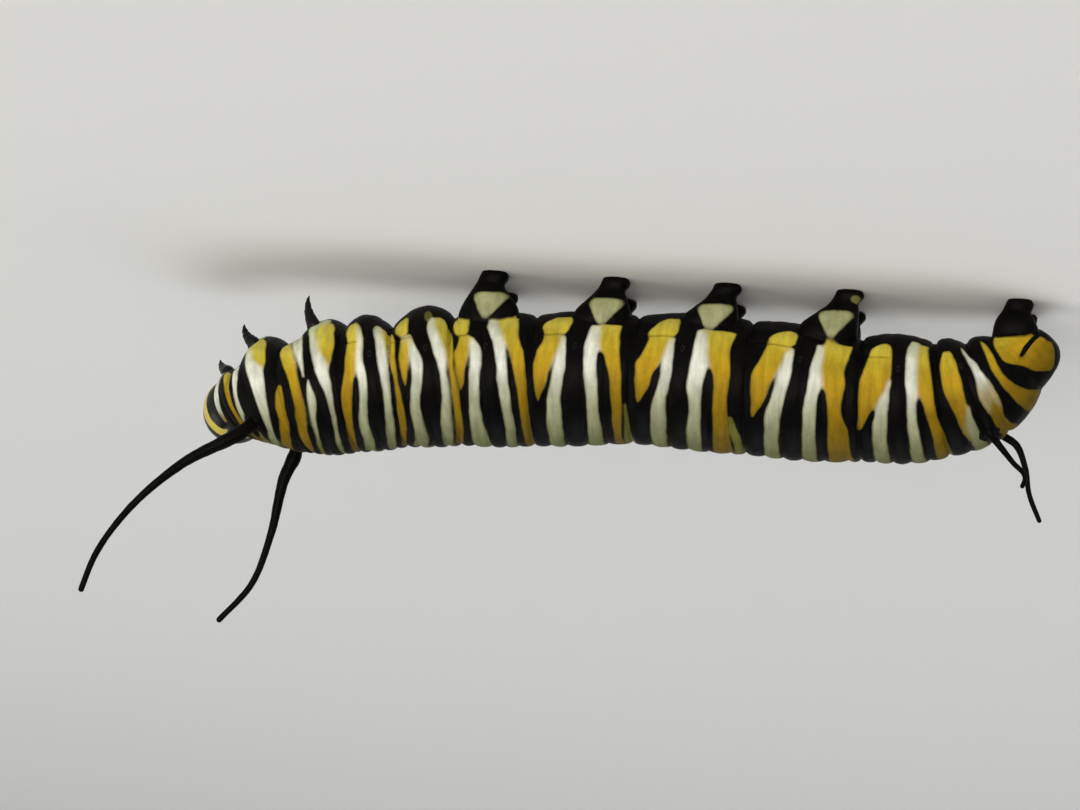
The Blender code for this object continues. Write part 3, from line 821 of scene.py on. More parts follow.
    def locate(self, points: Points) -> tuple[Points, Points, Points, Points, Points, Points]:
        """Finds the nearest place on the smooth skin: the nearest of a net, then refined.

        Args:
            points: rows in mm.

        Returns:
            Stations, signed angles, heights above the skin in mm, outward directions, and the mm that one
            station and one degree measure there.
        """
        net_step, net_turn, last = 0.02, 3.0, self.tail + 0.98
        stations, angles = np.meshgrid(np.arange(0.0, last + 0.01, net_step), np.arange(-180, 180, net_turn),
                                       indexing="ij")
        stations, angles = stations.ravel(), angles.ravel()
        found, _ = nearest(points, self.skin(stations, angles))
        station, angle = stations[found], angles[found]
        reach = 0.004
        for _ in range(2):
            gap = points - self.skin(station, angle)
            along = (self.skin(station + reach, angle) - self.skin(station - reach, angle)) / (2 * reach)
            around = self.skin(station, angle + 0.5) - self.skin(station, angle - 0.5)
            along_along, around_around = (along * along).sum(1), (around * around).sum(1)
            along_around, gap_along, gap_around = (
                (first * second).sum(1) for first, second in ((along, around), (gap, along), (gap, around)))
            spread = np.maximum(along_along * around_around - along_around * along_around, 1e-9)
            step = (gap_along * around_around - gap_around * along_around) / spread
            turn = (gap_around * along_along - gap_along * along_around) / spread
            station = np.clip(station + np.clip(step, -net_step, net_step), 0.0, last)
            angle = angle + np.clip(turn, -net_turn, net_turn)
        angle = (angle + 180) % 360 - 180
        base = self.skin(station, angle)
        outward = unit(np.cross(along, around))
        outward *= np.sign((outward * (base - self.frames(station)[0])).sum(1))[:, None]
        height = ((points - base) * outward).sum(1)
        # A point far off to the side, such as on a horn or a foot, counts as that far above the skin.
        away = np.linalg.norm(points - base, axis=1)
        height = np.where(away > 2 * np.abs(height) + 0.05, away, height)
        return station, angle, height, outward, np.sqrt(along_along), np.sqrt(around_around)

    def relief(self, station: Points, angle: Points, per_station: Points) -> tuple[Points, Points]:
        """Rings and creases of the skin.

        Args:
            station: places along the body.
            angle: signed angles.
            per_station: the mm that one station measures.

        Returns:
            Height in mm above the smooth skin, and the painted shade of the creases at each place, from 0 to
            1.
        """
        angle = np.abs(angle)
        number = np.floor(station)
        part = station - number
        upper = 1 - smooth_step(angle, *self.back_ends)
        inner = (station > 0.4) & (station < self.tail + 0.5)

        edges = [place + share for place, segment in enumerate(self.segments) for share in segment.rings[:-1]]
        edges = np.array(edges + [self.tail + 1.0])
        index = np.clip(np.searchsorted(edges, station, side="right") - 1, 0, len(edges) - 2)
        share = (station - edges[index]) / (edges[index + 1] - edges[index])
        ring = np.abs(np.sin(math.pi * share.clip(0, 1))) ** self.ring_squareness - self.ring_level
        height = curve_through(angle, self.ring_angles, self.ring_heights) * ring
        height *= 1 - smooth_step(station, 10.9, 11.6)
        hollow = 1 - np.sin(math.pi * part.clip(0, 1)).clip(0) ** self.swell_fullness
        before_tail = 1 - smooth_step(station, self.tail - 0.8, self.tail)
        height += self.fill * self.swell * hollow * upper * inner * before_tail

        # The last folds are soft, or gone, where the tail's plates are fused.
        fold = np.round(station)
        soft = np.where(fold > 10.5, 0.15 * (station < 11.5), 1.0)
        depth = bulge((station - fold) * per_station, 0.0, self.crease_width) * inner
        back, belly = self.crease_depths
        height -= (back * upper + belly * (1 - upper)) * soft * depth
        # Painted shade in the crease, darker on the belly; the flank crease's line is added at the end.
        back, belly = self.crease_shades
        crease = (back * upper + belly * (1 - upper)) * soft * depth ** 2

        flank = (smooth_step(part, 0.0, 0.06) * (1 - smooth_step(part, 0.34, 0.42))
                 * (number >= 3) * (number <= 9))
        line = bulge(angle + 5 * (part - 0.2), self.flank_crease, 1.1) * flank
        height += self.flank_depth * (flank * bulge(angle, self.flank_ridge, 9) - line)
        return height, np.maximum(crease, 0.4 * line)


# Markings


@dataclass(frozen=True)
class Stripe:
    """A stripe of one segment: angles, and there its headward and tailward edges in segment hundredths."""
    segment: int
    tint: Tint
    angles: Floats
    fronts: Floats
    backs: Floats

    def edges(self) -> Points:
        """The rows of headward and tailward edges as shares of the segment."""
        return np.array([self.fronts, self.backs]) / 100


# Segment (0 is the first of the thorax, 3 the first of the abdomen), tint, angles from the back to the
# belly, headward edges and tailward edges. The black strokes notch the pale stripes; the olive ones are
# pale stripes in painted shade.
W, Y, O, K = Tint.WHITE, Tint.YELLOW, Tint.OLIVE_AND_SHADE, Tint.BLACK
STRIPES = tuple(Stripe(*row) for row in (
    (0, Y, (0, 20, 45, 56), (-6, -4, 0, 5), (8, 10, 18, 24)),
    (0, Y, (44, 56, 66, 74), (0, 2, 6, 12), (30, 36, 34, 30)),
    (0, W, (50, 58, 70, 82, 95, 110, 125, 140), (2, 2, 4, 8, 15, 22, 25, 30),
     (36, 46, 52, 57, 62, 64, 64, 60)),
    (1, Y, (0, 20, 45, 70, 84, 95, 110, 125, 138), (-14, -13, -12, -10, -9, -9, -13, -20, -28),
     (-6, -5, -2, 5, 7, 9, 10, 10, 6)),
    (1, W, (36, 45, 62, 81, 95, 112, 125, 134), (3, 5, 9, 13, 16, 17, 16, 18),
     (6, 9, 17, 23, 29, 33, 34, 30)),
    (1, O, (0, 20, 34), (6, 10, 20), (16, 19, 26)),
    (1, W, (0, 20, 45, 70, 95, 110, 120, 130, 150, 158, 163), (22, 30, 46, 54, 53, 50, 48, 47, 46, 48, 56),
     (33, 46, 62, 74, 80, 78, 68, 62, 60, 74, 70)),
    (1, Y, (108, 114, 122, 132, 140, 148, 154), (76, 68, 60, 58, 57, 58, 62), (81, 84, 84, 83, 82, 79, 72)),
    (1, Y, (0, 5, 25, 45, 55, 66, 76, 84), (38, 40, 60, 77, 83, 87, 93, 100),
     (62, 64, 82, 96, 100, 105, 108, 108)),
    (2, Y, (0, 30, 54, 79, 94, 106, 118, 132, 146), (-2, 8, 17, 21, 19, 14, 10, 5, 3),
     (10, 24, 36, 38, 37, 35, 31, 25, 20)),
    (2, W, (87, 105, 125, 140, 148), (45, 38.5, 29, 24, 22), (48, 47, 45, 42, 38)),
    (2, O, (0, 10, 24), (26, 29, 33), (34, 36, 42)),
    (2, W, (15, 30, 45, 54, 63, 73, 79, 85), (30, 37, 40, 42, 44, 47, 49, 52),
     (36, 44, 51, 55, 59, 59, 56, 54)),
    (2, W, (0, 15, 45, 70, 88, 100, 110, 125, 142, 150, 160), (66, 70, 79, 76, 66, 62, 59, 56, 51, 50, 50),
     (76, 80, 86, 88, 87, 85, 76, 70, 66, 80, 78)),
    (2, Y, (94, 102, 108, 116, 125, 135, 143, 150), (82, 78, 73, 67, 64, 62, 66, 76),
     (87, 91, 92, 93, 93, 91, 90, 86)),
    (3, Y, (0, 31, 43, 54, 69, 76, 82, 88, 102, 118, 132, 140), (-8, -2, 0, 0, 4, 8, 12, 15, 17, 17, 16, 20),
     (6, 14, 17, 20, 25, 28, 33, 39, 43, 43, 40, 34)),
    (3, W, (0, 15, 43, 55, 67, 76, 84, 90, 97, 111, 125, 134),
     (20, 24, 28, 34, 38, 38.5, 37, 35, 34, 34, 32, 31), (40, 46, 46, 49, 53, 55, 55, 53, 50, 51, 47, 39)),
    (3, W, (0, 15, 39, 66, 79, 90, 115, 133, 139), (66, 70, 77, 83, 81, 79, 74, 70, 74),
     (80, 86, 94, 97, 98, 98, 98, 88, 82)),
    (3, Y, (0, 15, 43, 78, 95, 115, 128, 136), (92, 98, 105, 106, 102, 90, 80, 82),
     (104, 109, 117, 113, 112, 111, 105, 94)),
    (4, Y, (118, 121, 124, 131, 138, 144), (20, 16, 13, 12, 14, 18), (28, 32.5, 33, 33.5, 32.5, 29)),
    (4, Y, (71, 78, 86, 92, 96, 104, 112, 118), (22.5, 20, 18.5, 18, 18, 19, 20, 20),
     (24.5, 27.5, 31, 33.5, 36, 39, 40, 34)),
    (4, W, (0, 10, 25, 52, 66, 80, 90, 100, 110, 117), (16, 21, 25, 27, 32, 36, 36.5, 33, 28, 24),
     (40, 46, 48, 45, 50, 55, 57, 51, 41, 35)),
    (4, W, (0, 30, 64, 85, 100, 112, 124, 135), (70, 75, 84, 82, 73, 68, 64, 68),
     (88, 95, 99, 95, 96, 92, 82, 76)),
    (4, Y, (0, 18, 40, 64, 75, 85, 105, 115, 128, 137), (94, 98, 102, 102, 101, 98, 86, 78, 72, 78),
     (105, 110, 112, 111, 109, 106, 105, 104, 98, 90)),
    (4, O, (130, 135, 140, 145), (62, 58, 58, 61), (67, 71, 69, 66)),
    (5, Y, (116, 119, 124, 132, 138, 144), (10, 7, 5, 4, 5, 9), (20, 23.5, 24, 24, 22, 19)),
    (5, Y, (66, 72, 80, 88, 94, 99, 104, 110, 117), (13, 11, 9, 8, 7, 7.5, 10, 12, 12),
     (15, 18, 20, 22.5, 24, 26, 28, 30, 24)),
    (5, W, (0, 15, 37, 54, 68, 80, 88, 95, 104, 112), (18, 20, 21, 23, 25, 26, 26.5, 26, 24, 22),
     (44, 43, 39, 37, 38.5, 40, 41, 41, 38, 31)),
    (5, K, (62, 72, 80, 86), (16.5, 18, 21.5, 24), (23.5, 24.5, 26, 27)),
    (5, W, (0, 37, 54, 64, 75, 84, 93, 100, 106, 115, 125, 133),
     (66, 68, 65, 63, 61, 60, 57.5, 55.5, 54, 50, 46, 47),
     (80, 81, 78.5, 77.5, 75.5, 74, 72.5, 71, 71, 70, 64, 58)),
    (5, Y, (0, 54, 66, 75, 84, 93, 99, 104, 108, 118, 130, 140),
     (92, 88.5, 86.5, 84, 81, 77.5, 74.5, 70, 66, 60, 56, 64),
     (104, 100, 98.5, 97.5, 96, 94, 93, 90, 88, 85, 84, 83)),
    (6, Y, (115, 118, 123, 132, 139), (14, 13, 11, 14, 23), (31, 35, 37, 39, 37)),
    (6, Y, (56, 62, 70, 80, 88, 97, 107, 117), (10, 8.5, 7, 6, 6, 8, 12, 14),
     (12, 14, 17.5, 20.5, 24, 29, 33, 31)),
    (6, W, (0, 42, 60, 72, 84, 92, 104, 113), (19, 19, 20, 22.5, 24.5, 26, 27, 26),
     (34, 34, 33.5, 35, 37, 37, 36, 34)),
    (6, W, (0, 15, 42, 54, 70, 82, 90, 96, 100, 106, 118, 126),
     (58, 59, 59, 59, 56.5, 55, 54, 54, 54, 54, 56, 58),
     (73, 73, 71.5, 70.5, 69, 67.5, 67, 68, 70, 72, 72, 68)),
    (6, Y, (0, 10, 48, 63, 72, 82, 90, 96, 100, 106, 118, 128),
     (84, 84, 83.5, 82, 80.5, 78, 75, 73, 69, 64, 64, 68),
     (93, 92, 93, 92.5, 91.5, 91, 90, 89, 88.5, 88, 87, 88)),
    (6, O, (0, 7, 30, 52), (93, 94, 95, 95.5), (105, 103, 100, 97)),
    (7, Y, (54, 60, 68, 80, 88, 97, 106, 113, 117), (8, 6.5, 5.5, 5, 5, 9, 12, 14, 14),
     (10, 13, 17, 20, 25, 30, 33, 35, 33)),
    (7, Y, (115, 118, 122, 128, 133, 139), (14, 13, 14, 18, 22, 28), (33, 37, 38.5, 39, 39, 37)),
    (7, W, (0, 36, 60, 76, 84, 90, 104, 113), (19, 19, 21.5, 25.5, 26.5, 27, 28, 29),
     (32, 33, 33, 36, 37, 37, 37, 36)),
    (7, K, (54, 62, 70, 77, 83), (13, 16.5, 19.5, 22, 24), (19, 22.5, 24.5, 26, 26.8)),
    (7, W, (0, 20, 57, 73, 81, 86, 90, 105, 117, 124), (50, 50, 52, 50, 50.5, 51, 51.5, 53, 54, 55),
     (63, 63, 63, 64, 65.5, 67, 69, 70, 68, 64)),
    (7, Y, (0, 37, 64, 75, 81, 86, 89, 96, 106, 117, 125), (73, 73.5, 73, 73, 72, 70, 67, 62, 60, 59, 60),
     (90, 87, 85, 86, 86, 86, 86, 85, 85, 87, 89)),
    (7, O, (0, 9, 30, 48), (91, 92, 88, 86), (100, 99, 96, 90)),
    (8, Y, (50, 54, 62, 74, 82, 88, 98, 108, 114, 117), (7, 6.5, 6, 5.5, 5.5, 6, 11, 15, 16.5, 17),
     (9, 11, 16, 20.5, 23.5, 27, 33, 37, 39, 36)),
    (8, Y, (115, 118, 122, 128, 134), (17, 17, 18, 24, 33), (36, 41, 42, 43, 41)),
    (8, W, (0, 36, 57, 68, 75, 84, 90, 100, 113), (17, 18, 19, 23, 25, 27, 28, 30, 31),
     (31, 31, 33, 35.5, 37, 39, 40, 41, 41)),
    (8, K, (48, 58, 64, 70, 77, 82), (11, 14, 16.5, 19.5, 22.5, 25), (16, 19, 21.5, 23.5, 25.5, 26.5)),
    (8, W, (0, 12, 48, 62, 72, 78, 83, 99, 112, 123), (51, 51, 52, 52, 53.5, 54.5, 55, 57, 60, 61),
     (64, 64, 63.5, 64, 65, 66.5, 69, 70, 70, 69)),
    (8, Y, (0, 10, 43, 60, 72, 78, 82, 90, 98, 112, 122, 130),
     (74, 74, 74, 73.5, 72.5, 71, 68, 64.5, 63, 65, 66, 68),
     (95, 93, 91, 86, 86, 87, 88, 88, 87, 90, 92, 93)),
    (9, Y, (44, 48, 56, 62, 68, 76, 84, 92, 100, 110, 118, 126, 131),
     (-1, -1, 0, 0, 0, 0.5, 1, 3, 6, 10, 13, 17, 27), (2, 6, 12, 15.5, 22, 30, 37, 40, 42, 42, 42, 41, 38)),
    (9, W, (0, 37, 51, 60, 68, 76, 84, 92), (17, 17, 17.5, 20, 22, 26, 33, 37),
     (36, 35, 36, 37, 38, 39, 40, 41)),
    (9, K, (43, 50, 58, 65), (4, 7, 12, 17), (14, 16.5, 20, 21.5)),
    (9, W, (0, 15, 45, 63, 72, 78, 96, 115, 132, 141), (61, 61, 60.5, 60, 60, 60, 59, 60, 63, 68),
     (76, 75, 73, 71.5, 72.5, 75, 78, 78, 80, 78)),
    (9, Y, (0, 20, 50, 62, 72, 76, 79, 95, 112, 129, 138), (88, 87, 85, 82, 79, 77, 74.5, 70, 72, 74, 78),
     (108, 104, 96, 94, 93, 93, 93, 93, 92, 91, 92)),
    (10, Y, (20, 40, 57, 70, 82, 95, 109, 118, 125), (38, 30, 26, 18, 12, 12, 13, 18, 28),
     (44, 46, 52, 53, 55, 56, 55, 52, 46)),
    (10, W, (0, 18, 40, 52, 60), (42, 40, 38, 42, 50), (64, 61, 57, 55, 55)),
    (10, Y, (0, 12, 30, 43, 55, 66, 76), (88, 86, 85, 84, 81, 80, 84), (122, 114, 108, 112, 114, 113, 110)),
    (10, W, (46, 56, 66, 81, 93, 109, 122, 133), (84, 81, 80, 83, 85, 83, 80, 79),
     (110, 113, 113, 112, 107, 100, 90, 82)),
    (11, Y, (0, 15, 33, 50, 70, 84, 106, 120, 130), (52, 47, 42, 38, 34, 35, 45, 53, 58),
     (98, 88, 74, 62, 54, 57, 66, 66, 62)),
    (12, K, (69, 73, 78, 83, 88), (14, 12, 28, 48, 68), (24, 42, 70, 96, 100)),
    (12, Y, (10, 21, 40, 60, 82, 99, 115, 128), (40, 30, 12, 0, -24, -22, -12, -2),
     (55, 68, 86, 86, 80, 56, 30, 10)),
))


@dataclass(frozen=True)
class Markings:
    """The bands of the trunk, their edges wandering a little as living ones do."""
    stripes: tuple[Stripe, ...] = STRIPES
    # In mm: the rounding of corners and of meeting stripes, and half the blend of white into yellow.
    corner: float = 0.1
    meeting: float = 0.12
    union: float = 0.2
    blend: float = 0.34
    # How far the left side's stripes are off the right side's, as a share of a segment.
    left_change: float = 0.01
    # How far the edges wander, in mm along the body and degrees round it.
    wave_along: float = 0.035
    wave_around: float = 1.1

    def stripe_depth(self, stripe: Stripe, number: int, station: Points, angle: Points, side: Points,
                     per_station: Points, per_degree: Points) -> Points:
        """How deep each place lies inside a stripe.

        Args:
            stripe: the stripe.
            number: its number in the list, which varies the left side.
            station: places along the body.
            angle: angles without their sign.
            side: the signs of the angles.
            per_station: the mm that one station measures.
            per_degree: the mm that one degree measures.

        Returns:
            Depths in mm; outside is negative.
        """
        share = station - stripe.segment
        change = self.left_change * math.sin(number * 2.4) * (side < 0) * smooth_step(angle, 0, 40)
        front, back = (curve_through(angle, stripe.angles, edge) + change for edge in stripe.edges())
        across = np.minimum(share - front, back - share) * per_station
        ends = (stripe.angles[-1] - angle) * per_degree
        if stripe.angles[0] > 0:
            ends = np.minimum(ends, (angle - stripe.angles[0]) * per_degree)
        return soft_min(across, ends, self.corner)

    def fields(self, station: Points, angle: Points, per_station: Points, per_degree: Points,
               flow: Points) -> tuple[Points, Points, Points]:
        """The bands at each place of the skin.

        Args:
            station: places along the body.
            angle: signed angles.
            per_station: the mm that one station measures.
            per_degree: the mm that one degree measures.
            flow: mm along and round the skin, for the waviness of the edges.

        Returns:
            Depth inside the pale bands in mm, and the shares of yellow and of the olive of painted shade.
        """
        side, angle = np.sign(angle), np.abs(angle)
        for size, seed, share in ((1.1, 3.0, 1.0), (0.45, 9.0, 0.5)):
            station = station + share * self.wave_along * ripple(flow, size, seed) / per_station
        angle = angle + self.wave_around * ripple(flow, 0.9, 5.0) * smooth_step(angle, 0, 8)
        depth = {tint: np.full_like(station, FAR_OUTSIDE) for tint in Tint}
        margin = 0.35
        for number, stripe in enumerate(self.stripes):
            fronts, backs = stripe.edges()
            near = ((station > stripe.segment + fronts.min() - margin)
                    & (station < stripe.segment + backs.max() + margin))
            found = self.stripe_depth(stripe, number, station[near], angle[near], side[near],
                                      per_station[near], per_degree[near])
            depth[stripe.tint][near] = soft_max(depth[stripe.tint][near], found, self.meeting)
        white, yellow, olive_and_shade = depth[Tint.WHITE], depth[Tint.YELLOW], depth[Tint.OLIVE_AND_SHADE]
        pale = np.maximum(soft_max(white, yellow, self.union), olive_and_shade)
        pale = np.minimum(pale, -depth[Tint.BLACK])
        gold = smooth_step(yellow - white, -self.blend, self.blend)
        olive_and_shade_share = smooth_step(olive_and_shade - np.maximum(white, yellow), -0.05, 0.1)
        return pale, gold, olive_and_shade_share


# Soft limbs


@dataclass(frozen=True)
class LegSection:
    """A level cut through a proleg: height, half sizes, and how far it leans, closes in and reaches ahead."""
    height: float
    half_length: float
    half_width: float
    lean: float
    inward: float
    ahead: float = 0.0


@dataclass(frozen=True)
class Proleg:
    """A fleshy leg: its solid, its foot's place, its lean and its sections from the sole up."""
    node: str
    side: Side
    foot: Pair
    lean: float
    sections: tuple[LegSection, ...]
    spot: bool
    toe_spot: float = 0.0
    rows: int = 60
    sides: int = 44
    sole: float = -0.09
    squareness: float = 0.8
    # Behind, the ankle is creased in and the heel stands out: shares of the section, height and reach in mm.
    ankle: Triple = (0.12, 0.6, 0.11)
    heel: Triple = (0.1, 0.2, 0.14)
    # The cream spot is a triangle with its point up: mm ahead of the leg's middle and mm above the floor.
    spot_corners: tuple[Pair, ...] = ((0.98, 1.16), (-0.96, 1.1), (0.28, 2.66))
    spot_roundness: float = 0.5
    toe_middle: Pair = (-0.33, 0.47)
    toe_flatness: float = 0.7

    def shell(self) -> Shell:
        """Builds the leg: straight in front, creased behind at the ankle, its sole a little below the floor.

        Returns:
            The leg as a closed shell.
        """
        cuts = np.array([[cut.ahead, cut.inward, cut.height, cut.half_length, cut.half_width, cut.lean]
                         for cut in self.sections])
        cuts[0, 2] = self.sole
        turns = np.linspace(0, 2 * math.pi, self.sides, endpoint=False)
        cosine, sine = (np.sign(wave) * np.abs(wave) ** self.squareness
                        for wave in (np.cos(turns), np.sin(turns)))
        behind = np.cos(turns) < 0
        rings = []
        for ahead, inward, height, half_length, half_width, lean in spline(
                cuts, np.linspace(0, len(cuts) - 1, self.rows)):
            heel, ankle = (size * bulge(height, *where) for size, *where in (self.heel, self.ankle))
            along = cosine * half_length * (1 + (heel - ankle) * behind)
            across = sine * half_width * (1 + 0.5 * (heel - ankle))
            rings.append(np.stack([self.foot[0] + ahead + lean * self.lean + along,
                                   self.foot[1] + self.side.value * inward + across,
                                   np.full_like(along, height)], -1))
        return Shell.loft(np.array(rings))

    def spots(self, points: Points) -> tuple[Points, Points]:
        """How deep points lie in the cream spot on the outer face and in the olive one on the toe.

        Args:
            points: rows in mm.

        Returns:
            Depths in mm in each; outside, and without a spot, is negative.
        """
        cream = toe = np.full(len(points), FAR_OUTSIDE)
        outer = -self.side.value * (points[:, 1] - self.foot[1]) - 0.1
        if self.spot:
            forward = points[:, 0] - self.foot[0] - 0.6 * self.lean + 0.12
            corners = self.spot_corners
            depth = np.full(len(points), -FAR_OUTSIDE)
            for (x0, z0), (x1, z1) in zip(corners, corners[1:] + corners[:1]):
                length = math.hypot(x1 - x0, z1 - z0)
                edge = ((x0 - x1) * (points[:, 2] - z0) + (z1 - z0) * (forward - x0)) / length
                depth = soft_min(depth, edge, self.spot_roundness)
            cream = np.minimum(depth + 0.02, outer)
        if self.toe_spot:
            forward = (points[:, 0] - self.foot[0] - self.toe_middle[0]) / self.toe_spot
            upward = (points[:, 2] - self.toe_middle[1]) / (self.toe_flatness * self.toe_spot)
            toe = np.minimum(self.toe_spot * (1 - np.hypot(forward, upward)), outer)
        return cream, toe


@dataclass(frozen=True)
class Tentacle:
    """A long soft horn: its solid, its root on the skin, its radii and the way of its axis."""
    node: str
    side: Side
    station: float
    angle: float
    radii: Triple
    way: tuple[Triple, ...]
    # The root is sunk this deep in mm and stands square to the skin for this share of the first stretch.
    sink: float = 0.9
    base_share: float = 0.12
    # The thinnest radius in mm that the fused skin holds; settle brings the horn back to its own.
    thinnest: float = 0.2
    sides: int = 20
    # The horn's bumps: rings along it and grains, as shares of the radius, and their widths in mm.
    ring_bumps: Pair = (0.05, 0.5)
    grain_bumps: Pair = (0.035, 0.25)

    def axis(self, body: BodyForm, count: int = 70) -> Points:
        """The axis from inside the body to the tip.

        Args:
            body: the trunk.
            count: how many points.

        Returns:
            The points in mm.
        """
        root = body.skin(np.array([self.station]), np.array([self.side.value * self.angle]))[0]
        centre = body.frames(np.array([self.station]))[0][0]
        first = np.array(self.way[0])
        way = np.vstack([root + unit(centre - root) * self.sink, root + (first - root) * self.base_share,
                         np.array(self.way)])
        return spline(way, np.linspace(0, len(way) - 1, count))

    def radius(self, share: Points) -> Points:
        """The radius at shares of the axis: stout at the root, slender towards the tip."""
        root, middle, tip = self.radii
        return curve_through(share, (0.0, 0.14, 0.25, 0.55, 0.92, 1.0),
                             (root * 1.5, root * 1.3, root * 1.05, middle, tip, tip * 0.96))

    def shell(self, body: BodyForm) -> Shell:
        """Builds the horn, no thinner than the fused skin can hold.

        Args:
            body: the trunk.

        Returns:
            The horn as a closed tube.
        """
        axis = self.axis(body)
        radii = np.maximum(self.radius(np.linspace(0, 1, len(axis))), self.thinnest)
        return Shell.tube(axis, radii, self.sides)

    def settle(self, body: BodyForm, points: Points) -> tuple[Points, Points]:
        """Brings the skin's points back to the horn's own roundness.

        Args:
            body: the trunk.
            points: the skin's points.

        Returns:
            The points, and a share of 1 on the horn that falls to 0 on the trunk.
        """
        axis = self.axis(body, 320)
        lengths = lengths_along(axis)
        last = int(np.searchsorted(lengths, lengths[-1] - self.radii[2])) - 1
        near = np.where(np.linalg.norm(points - axis[len(axis) // 2], axis=1) < lengths[-1])[0]
        found, away = nearest(points[near], axis[:last + 1])
        past = lengths[found]
        radius = self.radius(past / lengths[-1])
        reach = np.maximum(radius, self.thinnest)
        weight = (smooth_step(past, self.sink + 0.15, self.sink + 1.0)
                  * (1 - smooth_step(away - reach, 0.05, 0.35)))
        flow = np.stack([past, away * 0, past * 0], -1)
        bumps = 1 + (self.ring_bumps[0] * ripple(flow, self.ring_bumps[1], self.station)
                     + self.grain_bumps[0] * ripple(points[near], self.grain_bumps[1], 2.0))
        target = axis[found] + unit(points[near] - axis[found]) * (radius * bumps)[:, None]
        moved = points.copy()
        moved[near] += (target - points[near]) * weight[:, None]
        on_horn = np.zeros(len(points))
        on_horn[near] = smooth_step(past, self.sink - 0.1, self.sink + 0.4) * (away < reach + 0.3)
        return moved, on_horn


LEG_CUTS = (
    LegSection(0.0, 0.58, 0.44, 0.0, 0.0, 0.01), LegSection(0.22, 0.66, 0.5, 0.0, 0.0, 0.03),
    LegSection(0.52, 0.68, 0.49, 0.05, 0.0, 0.12), LegSection(0.78, 0.78, 0.54, 0.14, 0.02, 0.16),
    LegSection(1.15, 1.02, 0.72, 0.44, 0.06, 0.08), LegSection(1.6, 1.3, 0.88, 0.8, 0.12),
    LegSection(2.2, 1.48, 1.0, 1.0, 0.2), LegSection(3.0, 1.5, 1.0, 1.05, 0.35))
TAIL_CUTS = (
    LegSection(0.0, 0.55, 0.42, 0.0, 0.0), LegSection(0.2, 0.62, 0.48, 0.0, 0.0, 0.03),
    LegSection(0.5, 0.68, 0.48, 0.0, 0.02, 0.1), LegSection(0.85, 0.86, 0.58, 0.05, 0.06, 0.1),
    LegSection(1.25, 1.02, 0.7, 0.12, 0.12), LegSection(1.8, 1.04, 0.74, 0.15, 0.25))
FOOT_SPREAD = 1.8
R, L = Side.RIGHT, Side.LEFT


